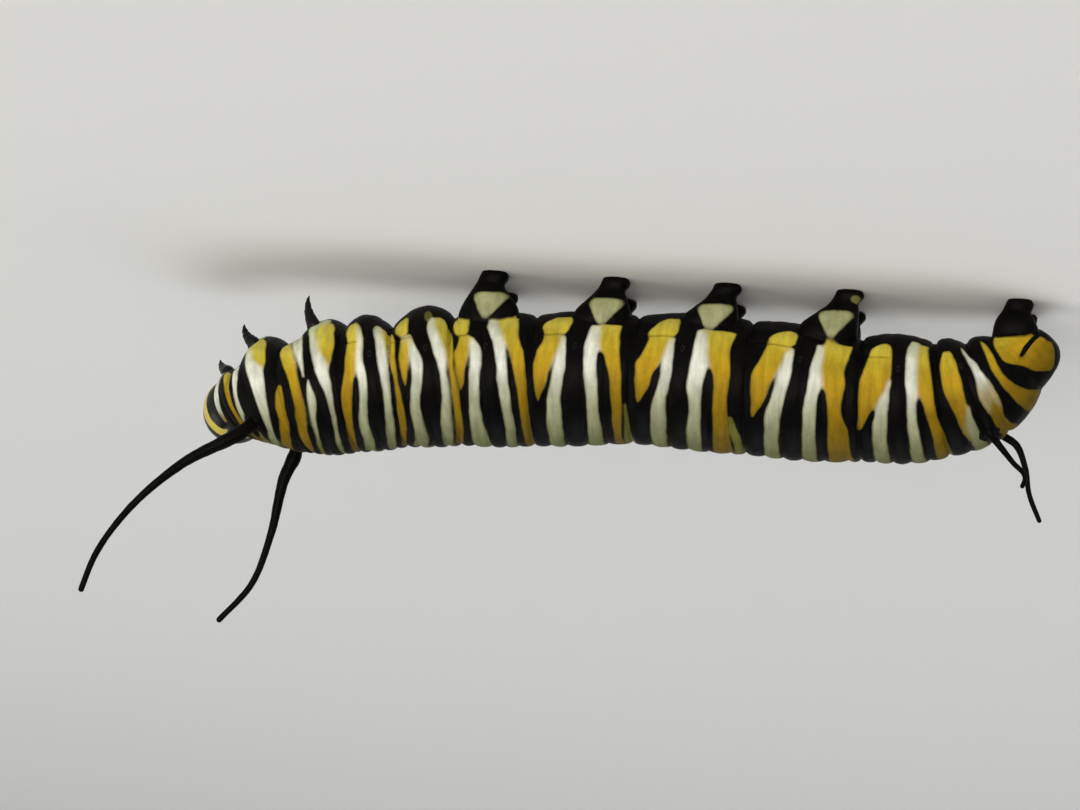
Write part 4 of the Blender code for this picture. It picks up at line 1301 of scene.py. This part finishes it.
@dataclass(frozen=True)
class Skin(SubAssembly):
    """The one unbroken skin of trunk, prolegs and tentacles, with its markings."""
    body: BodyForm = BodyForm()
    markings: Markings = Markings()
    prolegs: tuple[Proleg, ...] = tuple(
        Proleg(f"proleg_{number}_{side.label}", side, (foot, -side.value * FOOT_SPREAD), lean, LEG_CUTS, True,
               toe_spot)
        for number, foot, lean, toe_spot in ((3, 2.45, 0.1, 0.0), (4, -3.3, 0.6, 0.0),
                                             (5, -8.53, 0.85, 0.0), (6, -14.22, 1.0, 0.26))
        for side in Side) + (
        Proleg("anal_proleg_right", R, (-22.05, -1.8), 1.0, TAIL_CUTS, False),
        Proleg("anal_proleg_left", L, (-22.28, 0.62), 1.0, TAIL_CUTS, False))
    tentacles: tuple[Tentacle, ...] = (
        Tentacle("front_tentacle_right", R, 1.33, 47, (0.28, 0.185, 0.145), (
            (16.63, -1.1, 10.03), (18.85, -1.25, 12.4), (20.13, -1.3, 14.65), (20.63, -1.3, 16.45))),
        Tentacle("front_tentacle_left", L, 1.33, 47, (0.28, 0.185, 0.145), (
            (12.45, 2.8, 9.57), (12.85, 3.1, 12.24), (13.55, 3.3, 14.64), (15.07, 3.5, 16.57))),
        Tentacle("rear_tentacle_right", R, 10.72, 22, (0.18, 0.135, 0.11), (
            (-21.34, -1.1, 6.55), (-22.12, -1.45, 7.55), (-22.74, -1.75, 8.36), (-22.6, -1.85, 8.86))),
        Tentacle("rear_tentacle_left", L, 10.86, 36, (0.18, 0.135, 0.11), (
            (-22.2, 1.0, 6.08), (-22.74, 1.05, 7.2), (-22.98, 1.05, 8.4), (-23.56, 1.0, 9.78))))
    # The width in mm of the net on which the soft parts fuse, and how often its steps are smoothed.
    voxel: float = 0.08
    smoothing: int = 8
    # Uneven flesh, in mm: wrinkles on the trunk, and on feet.
    trunk_wrinkle: float = 0.016
    limb_wrinkle: float = 0.02
    # Where the bands change tone, from the back at 0 to the belly at 1: partly their own tone, partly painted
    # shade on the back and painted light towards the belly.
    tone_and_shade_angles: Floats = (0, 30, 60, 85, 105, 125, 145)
    tones_and_shades: Floats = (0.0, 0.1, 0.3, 0.5, 0.66, 0.86, 1.0)
    # How olive the legs' cream spots are, which is partly painted shade, and how olive the toe spots are.
    spot_olive_shade: float = 0.5
    toe_olive_share: float = 0.9

    def merged(self) -> Shell:
        """Fuses all soft shells.

        Returns:
            One closed skin, in mm.
        """
        whole = Shell.joined([self.body.shell()] + [leg.shell() for leg in self.prolegs]
                             + [horn.shell(self.body) for horn in self.tentacles])
        rough = add_mesh("rough_skin", whole.points, whole.faces)
        remesh = rough.modifiers.new("fuse", "REMESH")
        remesh.mode, remesh.voxel_size, remesh.adaptivity = "VOXEL", self.voxel, 0.0
        smooth = rough.modifiers.new("relax", "SMOOTH")
        smooth.factor, smooth.iterations = 0.5, self.smoothing
        bpy.context.view_layer.update()
        fused = bpy.data.meshes.new_from_object(rough.evaluated_get(bpy.context.evaluated_depsgraph_get()))
        points = np.zeros(len(fused.vertices) * 3, np.float32)
        fused.vertices.foreach_get("co", points)
        faces = [tuple(face.vertices) for face in fused.polygons]
        bpy.data.objects.remove(rough)
        return Shell(points.reshape(-1, 3).astype(float), faces)

    def build(self) -> list[Piece]:
        """Builds the skin: fused, brought back to its true form, wrinkled and marked.

        Returns:
            The one piece.
        """
        shell = self.merged()
        points = shell.points
        horn = np.zeros(len(points))
        for tentacle in self.tentacles:
            points, on_horn = tentacle.settle(self.body, points)
            horn = np.maximum(horn, on_horn)
        station, angle, height, outward, per_station, per_degree = self.body.locate(points)
        relief, crease = self.body.relief(station, angle, per_station)
        flow = np.stack([-self.flow_length(station), angle * per_degree.mean(), height], -1)
        trunk = (1 - smooth_step(np.abs(height), 0.06, 0.28)) * (station > 0.02) * (1 - horn)
        snap = trunk * (station < self.body.tail + 0.8)
        fine = self.trunk_wrinkle * ripple(flow * np.array([1.0, 0.4, 1.0]), 0.35, 1.0)
        points = points + outward * ((relief + fine - height * snap) * trunk)[:, None]
        soft = (1 - trunk) * (1 - horn) * self.limb_wrinkle * ripple(points, 0.3, 4.0)
        points = points + outward * soft[:, None]

        pale, gold, olive_and_shade_share = self.markings.fields(station, angle, per_station, per_degree, flow)
        # The bands end where the legs leave the trunk, and no band runs up a horn.
        pale = np.minimum(pale, 0.2 - np.maximum(height, 0) * 1.2) - 6 * horn
        for leg in self.prolegs:
            # The cream spots are dulled towards olive, partly as painted shade; the toe spots are nearly
            # olive.
            for spot, spot_olive_share in zip(leg.spots(points), (self.spot_olive_shade, self.toe_olive_share)):
                spot = np.where(np.abs(angle) > 100, spot, FAR_OUTSIDE)
                gold = np.where(spot > pale, 0.1, gold)
                olive_and_shade_share = np.where(spot > pale, spot_olive_share, olive_and_shade_share)
                pale = np.maximum(pale, spot)
        points[:, 2] = np.maximum(points[:, 2], 0.0)
        replaced = tuple(part.node for part in self.body.segments + self.prolegs + self.tentacles)
        return [make_piece("skin", Shell(points, shell.faces), CUTICLE, replaced, {
            "pale": pale, "gold": gold, "olive_and_shade": olive_and_shade_share, "crease": crease * (pale > 0),
            "tone_and_shade": curve_through(np.abs(angle), self.tone_and_shade_angles, self.tones_and_shades), "flow": flow})]

    def flow_length(self, station: Points) -> Points:
        """Millimetres from the neck along the middle of the body.

        Args:
            station: places along the body.

        Returns:
            The length to each.
        """
        steps = np.linspace(0, self.body.tail + 1, 400)
        return np.interp(station, steps, lengths_along(self.body.frames(steps)[0]))


# The head


@dataclass(frozen=True)
class Plate:
    """A hard plate of the face: size, place from the head's centre, pitch in degrees and squareness."""
    size: Triple
    place: Triple
    pitch: float
    squareness: float = 0.55


@dataclass(frozen=True)
class Limb:
    """A short ringed limb of the face: its way from the head's centre and its radii, for the right side."""
    way: tuple[Triple, ...]
    radii: Floats

    def shell(self, side: int = 1) -> Shell:
        """Builds the limb, thinner between its joints and drawn to a point.

        Args:
            side: 1 for the right side or the middle, -1 for the left.

        Returns:
            The limb as a closed tube.
        """
        places = np.linspace(0, len(self.way) - 1, 40)
        axis = spline(np.array(self.way, float) * np.array([1, side, 1]), places)
        size = curve_through(places, tuple(range(len(self.way))), self.radii)
        ringed = size * (1 - 0.22 * bulge(places - np.round(places), 0.0, 0.07) * (places > 0.5))
        ringed[-3:] *= np.array([0.85, 0.6, 0.25])
        return Shell.tube(axis, ringed, 16)


@dataclass(frozen=True)
class Head(SubAssembly):
    """The head capsule with its sutures and yellow bands, its eyes, feelers and mouthparts.

    Places in the head are mm forward, right and up from its centre.
    """
    body: BodyForm = BodyForm()
    # The centre lies this far ahead of the neck and down from it, and the head turns, rises and rolls.
    ahead: float = 0.85
    drop: float = 0.3
    turn: float = 74
    rise: float = 14
    roll: float = -10
    half_width: float = 1.6
    above: float = 1.66
    below: float = 1.58
    half_depth: float = 1.35
    roundness: float = 2.35
    rows: int = 130
    sides: int = 200
    # The notch between the halves: mm deep and degrees wide. Grooves run on from it down the face.
    suture_depth: float = 0.16
    suture_half_angle: float = 9
    groove_width: float = 0.045
    face_groove_depth: float = 0.045
    crown_groove_depth: float = 0.035
    # The three-sided plate of the face, a little sunk, and the shell's slight unevenness.
    frons_top: float = 0.42
    frons_foot: float = -0.82
    frons_half_width: float = 0.64
    frons_sink: float = 0.02
    rumple: float = 0.008
    # The yellow bands: how far from the crown's groove they begin, where they end below, half their widths.
    hind_band: Triple = (0.1, -0.75, 0.25)
    outer_band: Triple = (0.07, -0.7, 0.13)
    band_wave: float = 0.03
    band_rounding: float = 0.08
    # The six eyes lie on an arc, each lens in a shallow ringed pit.
    eye_radius: float = 0.13
    eye_middle: Triple = (0.72, 1.26, -0.62)
    eye_arc: float = 0.34
    eye_rim: float = 0.03
    clypeus: Plate = Plate((0.6, 1.22, 0.5), (1.0, 0.0, -0.93), -24)
    labrum: Plate = Plate((0.44, 0.95, 0.46), (0.98, 0.0, -1.3), -14)
    jaw: Plate = Plate((0.66, 0.56, 0.74), (0.72, 0.4, -1.8), -12)
    lip: Plate = Plate((0.56, 0.95, 0.66), (-0.08, 0.0, -1.86), 8, 0.7)
    # The jaw's teeth stand this high, and its cutting edge leans in and narrows.
    tooth_height: float = 0.09
    jaw_lean: float = 0.1
    jaw_taper: float = 0.18
    jaw_cheek: float = 0.05
    antenna: Limb = Limb(((0.75, 0.72, -1.0), (1.12, 0.84, -1.3), (1.3, 0.9, -1.48), (1.48, 0.95, -1.68)),
                         (0.26, 0.22, 0.16, 0.09))
    spinneret: Limb = Limb(((-0.05, 0, -2.0), (0.04, 0, -2.3), (0.14, 0, -2.5)), (0.24, 0.16, 0.09))
    palps: tuple[Limb, ...] = (
        Limb(((0.22, 0.34, -1.95), (0.31, 0.35, -2.155), (0.4, 0.36, -2.36)), (0.17, 0.12, 0.07)),
        Limb(((0.05, 0.2, -2.02), (0.105, 0.22, -2.18), (0.16, 0.24, -2.34)), (0.09, 0.06, 0.04)))

    def axes(self) -> tuple[Points, Points, Points, Points]:
        """Finds how the head sits on the neck.

        Returns:
            The head's centre, forward, right and up.
        """
        centre, forward, _, up, _ = (item[0] for item in self.body.frames(np.array([0.0])))
        head_forward, right, head_up = directions(np.array(float(self.turn)), np.array(float(self.rise)))
        roll = math.radians(self.roll)
        rolled_right = right * math.cos(roll) + head_up * math.sin(roll)
        rolled_up = head_up * math.cos(roll) - right * math.sin(roll)
        return centre + forward * self.ahead - up * self.drop, head_forward, rolled_right, rolled_up

    def place(self, shell: Shell) -> Shell:
        """A shell in the head's own directions, moved to the animal's."""
        centre, forward, right, up = self.axes()
        return Shell(centre + shell.points @ np.array([forward, right, up]), shell.faces)

    def closing(self, depth: Points) -> Points:
        """The share of the full size that is left at shares of the half depth."""
        return (1 - np.abs(depth) ** self.roundness) ** (1 / self.roundness)

    def frons_depth(self, across: Points, height: Points) -> Points:
        """Measures from the edge of the three-sided plate of the face.

        Args:
            across: mm to the right of the middle.
            height: mm up from the centre.

        Returns:
            Mm inside; outside is negative.
        """
        tall = self.frons_top - self.frons_foot
        slant = math.hypot(tall, self.frons_half_width)
        side = ((self.frons_top - height) * self.frons_half_width - np.abs(across) * tall) / slant
        return np.minimum(side, height - self.frons_foot)

    def lift(self, local: Points) -> Points:
        """The capsule's fine relief: grooves, the sunk plate, unevenness and the pits of the eyes.

        Args:
            local: points of the smooth capsule.

        Returns:
            Mm above it.
        """
        forward, across, up = local.T
        face = smooth_step(forward, 0.25, 0.55)
        inside = self.frons_depth(across, up)
        groove = bulge(inside, 0.0, self.groove_width) * face * (up > self.frons_foot + 0.02)
        crown = bulge(across, 0.0, self.groove_width) * (up > 0)
        crown *= (up > self.frons_top - 0.02) | (forward < 0)
        lift = -self.face_groove_depth * groove - self.crown_groove_depth * crown
        lift -= self.frons_sink * face * smooth_step(inside, 0.02, 0.2)
        lift += self.rumple * ripple(local, 0.28, 7.0) * (1 - face * 0.6)
        for eye in self.eyes(Side.RIGHT) + self.eyes(Side.LEFT):
            away = np.linalg.norm(local - eye, axis=1)
            lift += self.eye_rim * (bulge(away, 0.17, 0.04) - bulge(away, 0.0, 0.12))
        return lift

    def bands(self, local: Points) -> Points:
        """The yellow markings: a band behind the cheeks, one beside the face's plate, and the plate's foot.

        Args:
            local: points of the smooth capsule.

        Returns:
            Mm inside them; outside is negative.
        """
        forward, across, up = local.T
        inside = self.frons_depth(across, up)
        wave = self.band_wave * ripple(local, 0.6, 2.0)
        start, end, width = self.hind_band
        hind = width - np.abs(forward + 0.33 + 0.1 * smooth_step(-up, 0.0, 1.0)) + wave
        hind = soft_min(hind, np.minimum(np.abs(across) - start, up - end), self.band_rounding)
        start, end, width = self.outer_band
        outer = width - np.abs(inside + 0.46) + wave
        ends = np.minimum(np.abs(across) - start, np.minimum(up - end, 1.3 - up))
        outer = soft_min(outer, ends, self.band_rounding)
        plate = soft_min(inside - 0.13, 0.16 - up, self.band_rounding)
        return np.maximum(hind, np.where(forward > 0, np.maximum(outer, plate), -1))

    def capsule(self) -> Piece:
        """Builds the capsule: two domed halves parted by a groove that forks round the face's plate.

        Returns:
            The piece.
        """
        depths = np.sin(np.linspace(-math.pi / 2, math.pi / 2, self.rows))[1:-1]
        angles = -np.linspace(0, 2 * math.pi, self.sides, endpoint=False)
        depth, angle = np.meshgrid(depths, angles, indexing="ij")
        height = np.where(np.cos(angle) > 0, self.above, self.below)
        from_crown = np.degrees(np.arccos(np.cos(angle)))
        notch = self.suture_depth * bulge(from_crown, 0.0, self.suture_half_angle)
        local = np.stack([depth * self.half_depth,
                          np.sin(angle) * self.half_width * self.closing(depth),
                          np.cos(angle) * (height - notch) * self.closing(depth)], -1).reshape(-1, 3)
        outward = unit(local / np.array([self.half_depth, self.half_width, self.above]) ** 2)
        points = local + outward * self.lift(local)[:, None]
        back, front = np.array([-self.half_depth, 0, 0]), np.array([self.half_depth - 0.02, 0, 0])
        shell = Shell.loft(points.reshape(len(depths), self.sides, 3), first=back, last=front)
        pale = np.concatenate([self.bands(local), [-1, 0.2]])
        return make_piece("head_capsule", self.place(shell), HEAD_CHITIN, ("head",), {"pale": pale})

    def eyes(self, side: Side) -> list[Points]:
        """Finds one side's six simple eyes on the capsule.

        Args:
            side: the side of the head.

        Returns:
            Their middles, from the head's centre.
        """
        found = []
        for number in range(6):
            swing = math.radians(-35 + 48 * number)
            spot = np.array([self.eye_middle[0] + self.eye_arc * 0.75 * math.cos(swing),
                             self.eye_middle[1] - 0.22 * math.cos(swing),
                             self.eye_middle[2] + self.eye_arc * math.sin(swing)])
            closing = self.closing(spot[0] / self.half_depth)
            spot[1:] /= math.hypot(spot[1] / (self.half_width * closing), spot[2] / (self.below * closing))
            found.append(spot * np.array([1, side.value, 1]))
        return found

    def lenses(self) -> Piece:
        """Builds the clear domes of the simple eyes.

        Returns:
            The piece.
        """
        domes = []
        for side in Side:
            for eye in self.eyes(side):
                dome = Shell.block((2 * self.eye_radius,) * 3, 1.0, 24)
                domes.append(Shell(dome.points + eye * 0.985, dome.faces))
        return make_piece("eye_lenses", self.place(Shell.joined(domes)), EYE_CORNEA)

    def set_plate(self, plate: Plate, shell: Shell, side: int = 1) -> Shell:
        """Pitches a shell and moves it to a plate's place.

        Args:
            plate: the plate.
            shell: its shell about the origin.
            side: 1 for the right side or the middle, -1 for the left.

        Returns:
            The shell in the animal's directions.
        """
        pitch = math.radians(-plate.pitch)
        forward, across, up = shell.points.T
        turned = np.stack([forward * math.cos(pitch) - up * math.sin(pitch), across,
                           forward * math.sin(pitch) + up * math.cos(pitch)], -1)
        return self.place(Shell(turned + np.array(plate.place) * np.array([1, side, 1]), shell.faces))

    def upper_lip(self) -> list[Piece]:
        """Builds the pale clypeus and, hinged below it, the dark upper lip with its notch.

        Returns:
            The two pieces.
        """
        brow = Shell.block(self.clypeus.size, self.clypeus.squareness, 40)
        pale = 0.16 - np.abs(brow.points[:, 2] - 0.02)
        lip = Shell.block(self.labrum.size, self.labrum.squareness, 48)
        low = smooth_step(-lip.points[:, 2], 0.0, 0.22)
        lip.points[:, 2] += 0.16 * low * bulge(lip.points[:, 1], 0.0, 0.13)
        return [make_piece("clypeus", self.set_plate(self.clypeus, brow), LIP_CUTICLE, (), {"pale": pale}),
                make_piece("upper_lip", self.set_plate(self.labrum, lip), JAW_CHITIN)]

    def jaws(self) -> list[Piece]:
        """Builds the two jaws that meet in the middle, with blunt teeth along the cutting edge.

        Returns:
            The two pieces.
        """
        made = []
        for side in Side:
            jaw = Shell.block(self.jaw.size, self.jaw.squareness, 64)
            length, _, height = (jaw.points / np.array(self.jaw.size) * 2).T
            low = smooth_step(-height, 0.1, 0.9)
            jaw.points[:, 2] += self.tooth_height * low * np.abs(np.sin(length * 4.2))
            cheek = self.jaw_cheek * (1 - low) * (1 - length ** 2)
            jaw.points[:, 1] += side.value * (cheek - self.jaw_lean * low)
            jaw.points[:, 0] *= 1 - self.jaw_taper * low
            made.append(make_piece(f"jaw_{side.label}", self.set_plate(self.jaw, jaw, side.value), JAW_CHITIN,
                                   (f"mandible_{side.label}",)))
        return made

    def feelers(self) -> list[Piece]:
        """Builds the short three-jointed feelers beside the jaws, each ended in a bristle.

        Returns:
            The two pieces.
        """
        made = []
        for side in Side:
            way = np.array(self.antenna.way) * np.array([1, side.value, 1])
            bristle = Shell.tube(np.linspace(way[-1] - (0.05, 0, 0), way[-1] + (0.02, 0, -0.1), 6),
                                 np.linspace(0.03, 0.008, 6), 8)
            shell = Shell.joined([self.antenna.shell(side.value), bristle])
            pale = 0.25 - np.linalg.norm(shell.points - way[0] - (way[1] - way[0]) * 0.6, axis=1)
            made.append(make_piece(f"feeler_{side.label}", self.place(shell), LIP_CUTICLE,
                                   (f"antenna_{side.label}",), {"pale": pale}))
        return made

    def lower_lip(self) -> Piece:
        """Builds the soft lower lip with its silk spinneret and the ringed palps beside it.

        Returns:
            The piece.
        """
        pad = Shell.block(self.lip.size, self.lip.squareness, 40)
        pad.points[:, 2] -= 0.03 * np.cos(pad.points[:, 1] * 12)
        limbs = [self.spinneret.shell()] + [palp.shell(side.value) for side in Side for palp in self.palps]
        parts = [self.set_plate(self.lip, pad)] + [self.place(limb) for limb in limbs]
        return make_piece("lower_lip", Shell.joined(parts), LIP_CUTICLE, ("labium",))

    def build(self) -> list[Piece]:
        """Builds the head's pieces and gives them."""
        return [self.capsule(), self.lenses(), *self.upper_lip(), *self.jaws(), *self.feelers(),
                self.lower_lip()]


# Hard parts of the trunk


@dataclass(frozen=True)
class WalkingLeg(SubAssembly):
    """A jointed leg of the thorax: its solid, its root, how far its claw reaches and its share of that."""
    node: str
    side: Side
    station: float
    angle: float
    reach: Triple
    share: float = 1.0
    body: BodyForm = BodyForm()
    sink: float = 0.75
    bend: float = 0.12
    claw: float = 0.05
    # The radius in mm at shares of the reach, and at the sunk root.
    places: Floats = (0.0, 0.28, 0.52, 0.74, 0.9, 1.0)
    radii: Floats = (0.33, 0.26, 0.19, 0.13, 0.07, 0.015)
    root_radius: float = 0.34
    # Each joint flares out and the next begins drawn in: its share of the reach, and mm.
    joints: tuple[Pair, ...] = ((0.24, 0.01), (0.5, 0.018), (0.74, 0.01))

    def build(self) -> list[Piece]:
        """Builds the leg: flared joints of hard chitin, and a curved claw.

        Returns:
            The one piece.
        """
        centre, forward, right, up, _ = (item[0] for item in self.body.frames(np.array([self.station])))
        root = self.body.skin(np.array([self.station]), np.array([self.side.value * self.angle]))[0]
        reach = forward * self.reach[0] + right * self.side.value * self.reach[1] + up * self.reach[2]
        shares = np.linspace(0, 1, 90)
        ahead = self.bend * np.sin(math.pi * shares) - self.claw * smooth_step(shares, 0.84, 1.0) ** 2
        axis = root + reach * self.share * shares[:, None] + forward * ahead[:, None]
        size = curve_through(shares, self.places, self.radii)
        for joint, flare in self.joints:
            size += flare * (bulge(shares, joint, 0.05) - 0.8 * bulge(shares, joint + 0.075, 0.035))
        sunk = root + unit(centre - root) * np.linspace(self.sink, 0.05, 8)[:, None]
        shell = Shell.tube(np.vstack([sunk, axis]),
                           np.concatenate([np.full(len(sunk), self.root_radius), size]), 28)
        return [make_piece(f"{self.node}_shell_{self.side.label}", shell, LEG_CHITIN,
                           (f"{self.node}_{self.side.label}",))]


@dataclass(frozen=True)
class Breathers(SubAssembly):
    """The spiracles: a small raised oval of hard chitin round a dark pit, nine on each flank."""
    body: BodyForm = BodyForm()
    places: tuple[Pair, ...] = (
        (0.78, 104), (3.64, 103), (4.62, 103), (5.46, 103), (6.45, 103), (7.44, 103), (8.47, 104),
        (9.5, 104), (10.66, 103))
    half_length: float = 0.085
    half_height: float = 0.15
    # The rim's cut from the pit outward: shares of the oval, and mm above the skin.
    profile: tuple[Pair, ...] = (
        (0.1, -0.03), (0.35, -0.01), (0.62, 0.015), (0.8, 0.032), (1.0, 0.036), (1.18, 0.022),
        (1.32, -0.01), (1.36, -0.09))
    sides: int = 28

    def rim(self, station: float, angle: float) -> Shell:
        """Builds one rim.

        Args:
            station: its place along the body.
            angle: its signed angle.

        Returns:
            The rim as a closed shell.
        """
        station, angle = np.array([station]), np.array([angle])
        base = self.body.skin(station, angle)[0]
        along = unit(self.body.skin(station + 0.01, angle)[0] - base)
        around = unit(self.body.skin(station, angle + 1)[0] - base)
        outward = np.cross(along, around)
        outward = outward * np.sign(outward.dot(base - self.body.frames(station)[0][0]))
        turns = np.linspace(0, 2 * math.pi, self.sides, endpoint=False)[:, None]
        oval = along * self.half_length * np.cos(turns) + around * self.half_height * np.sin(turns)
        return Shell.loft(np.array([base + outward * lift + oval * spread for spread, lift in self.profile]))

    def build(self) -> list[Piece]:
        """Builds all eighteen as one piece."""
        rims = [self.rim(station, side.value * angle) for station, angle in self.places for side in Side]
        return [make_piece("spiracles", Shell.joined(rims), RIM_CHITIN)]


@dataclass(frozen=True)
class SoleHooks(SubAssembly):
    """The crochets: an arc of tiny amber hooks on the inner half of each sole."""
    prolegs: tuple[Proleg, ...]
    count: int = 18
    radius: float = 0.022
    height: float = 0.15
    short_share: float = 0.75
    # How far the hooks lean out from the sole's edge in mm, and how far they bow.
    lean: float = 0.03
    bow: float = 0.06

    def build(self) -> list[Piece]:
        """Builds the hooks of all the feet, long and short in turn.

        Returns:
            The one piece.
        """
        bend = np.linspace(0, math.pi * 0.75, 9)
        hooks = []
        for leg in self.prolegs:
            foot = leg.sections[0]
            for number in range(self.count):
                turn = math.pi * (0.06 + 0.88 * number / (self.count - 1))
                out = np.array([math.cos(turn), leg.side.value * math.sin(turn), 0.0])
                base = np.array([*leg.foot, 0]) + out * np.array([foot.half_length, foot.half_width, 0])
                reach = self.height * (1.0 if number % 2 else self.short_share)
                way = base + out * (self.lean + self.bow * np.sin(bend))[:, None]
                way[:, 2] = self.radius + 0.01 + reach * (0.5 + 0.5 * np.cos(bend))
                hooks.append(Shell.tube(way, np.linspace(1.0, 0.35, 9) * self.radius, 7))
        return [make_piece("sole_hooks", Shell.joined(hooks), HOOK_CHITIN)]


# Camera, light and floor


@dataclass(frozen=True)
class Lamp:
    """A square soft lamp: its place and side in mm, its power in watts and its colour."""
    name: str
    place: Triple
    size: float
    watts: float
    colour: str


@dataclass(frozen=True)
class Studio(SubAssembly):
    """The camera at the photograph's angle, the paper floor and the soft lamps."""
    # Degrees from the right flank and up, the camera's own roll, and mm.
    turn: float = -8
    rise: float = 14
    roll: float = 185.31
    distance: float = 160
    target: Triple = (0.0, 0.0, 5.82)
    pixels_per_mm: float = 21.25
    picture_width: float = 1080
    sensor: float = 36
    # The floor is flat to the first radius and has curved up to a wall at the second.
    flat_radius: float = 300
    wall_radius: float = 620
    wall_height: float = 420
    floor_rows: int = 12
    floor_sides: int = 96
    lamps: tuple[Lamp, ...] = (Lamp("front_lamp", (40, -340, 45), 240, 1.15, "#FFF9F0"),
                               Lamp("head_lamp", (330, -120, 160), 200, 0.35, "#FFFFFF"),
                               Lamp("top_lamp", (-60, 120, 380), 300, 0.5, "#F4F8FF"))
    lamp_target: Triple = (0, 0, 5)
    room_colour: str = "#F3F5F7"
    room_strength: float = 0.25

    def camera(self) -> Piece:
        """Places the camera, rolled as in the photograph.

        Returns:
            The camera.
        """
        turn, rise, roll = (math.radians(angle) for angle in (self.turn, self.rise, self.roll))
        back = np.array([math.sin(turn) * math.cos(rise), -math.cos(turn) * math.cos(rise), math.sin(rise)])
        right = unit(np.cross(-back, [0, 0, 1]))
        up = np.cross(right, -back)
        across = math.cos(roll) * right + math.sin(roll) * up
        upward = -math.sin(roll) * right + math.cos(roll) * up
        place = PLACEMENT.to_model(np.array(self.target) + back * self.distance)
        data = bpy.data.cameras.new("camera")
        data.sensor_width = self.sensor
        data.lens = self.pixels_per_mm * self.distance / self.picture_width * self.sensor
        data.clip_start = MM
        camera = add_object("camera", data)
        columns = np.column_stack([across, upward, back, place])
        camera.matrix_world = Matrix([*columns.tolist(), [0, 0, 0, 1]])
        bpy.context.scene.camera = camera
        return camera

    def floor(self) -> Piece:
        """Lays a paper floor that curves up to a wall all round.

        Returns:
            The floor, which stands outside the model.
        """
        turns = np.linspace(0, 2 * math.pi, self.floor_sides, endpoint=False)
        curve = np.linspace(0, math.pi / 2, 2 * self.floor_rows)
        radii = np.concatenate([np.linspace(6, self.flat_radius, self.floor_rows)[:-1],
                                self.flat_radius + (self.wall_radius - self.flat_radius) * np.sin(curve)])
        heights = np.concatenate([np.zeros(self.floor_rows - 1), self.wall_height * (1 - np.cos(curve))])
        rings = np.stack([radii[:, None] * np.cos(turns), radii[:, None] * np.sin(turns),
                          np.repeat(heights[:, None], len(turns), 1)], -1)
        shell = Shell.loft(rings, first=np.zeros(3))
        top = len(rings) * len(turns) + 1
        obj = add_mesh("paper_floor", shell.points * MM, [face for face in shell.faces if top not in face])
        obj.data.materials.append(StudioPaper().material())
        return obj

    def lamp(self, lamp: Lamp) -> Piece:
        """Hangs a lamp that looks at the animal.

        Args:
            lamp: its sizes.

        Returns:
            The lamp.
        """
        data = bpy.data.lights.new(lamp.name, "AREA")
        data.size, data.energy, data.color = lamp.size * MM, lamp.watts, linear(lamp.colour)[:3]
        obj = add_object(lamp.name, data)
        obj.location = Vector(lamp.place) * MM
        back = Vector(lamp.place) - Vector(self.lamp_target)
        obj.rotation_euler = back.to_track_quat("Z", "Y").to_euler()
        obj.visible_camera = False
        return obj

    def build(self) -> list[Piece]:
        """Sets up the camera, the floor, the lamps and the even light of the room.

        Returns:
            The camera, the floor and the lamps.
        """
        made = [self.camera(), self.floor()] + [self.lamp(lamp) for lamp in self.lamps]
        world = bpy.data.worlds.new("room")
        world.use_nodes = True
        background = world.node_tree.nodes["Background"]
        background.inputs["Color"].default_value = linear(self.room_colour)
        background.inputs["Strength"].default_value = self.room_strength
        bpy.context.scene.world = world
        bpy.context.scene.view_settings.view_transform = "Standard"
        return made


# The walking legs' roots and reaches, and the share of the reach that the far ones have.
WALKING_LEGS = (("leg_1", 0.38, 150, (0.44, 0.05, -0.96), 0.95),
                ("leg_2", 1.56, 152, (0.24, 0.05, -1.1), 0.9),
                ("leg_3", 2.54, 155, (0.1, 0.02, -1.48), 0.62))


def main() -> None:
    """Builds the larva from its skin outward, then the studio, and reports each piece."""
    logging.basicConfig(level=logging.INFO, format="%(name)s: %(message)s")
    skin = Skin()
    legs = [WalkingLeg(node, side, station, angle, reach, 1.0 if side is Side.RIGHT else left_share)
            for side in Side for node, station, angle, reach, left_share in WALKING_LEGS]
    for part in [skin, Head(), *legs, Breathers(), SoleHooks(skin.prolegs), Studio()]:
        for obj in part.build():
            if obj.type == "MESH":
                LOG.info("%s: %d points, %s", obj.name, len(obj.data.vertices), obj.data.materials[0].name)
            else:
                LOG.info("%s: %s", obj.name, obj.type.lower())


if __name__ == "__main__":
    main()
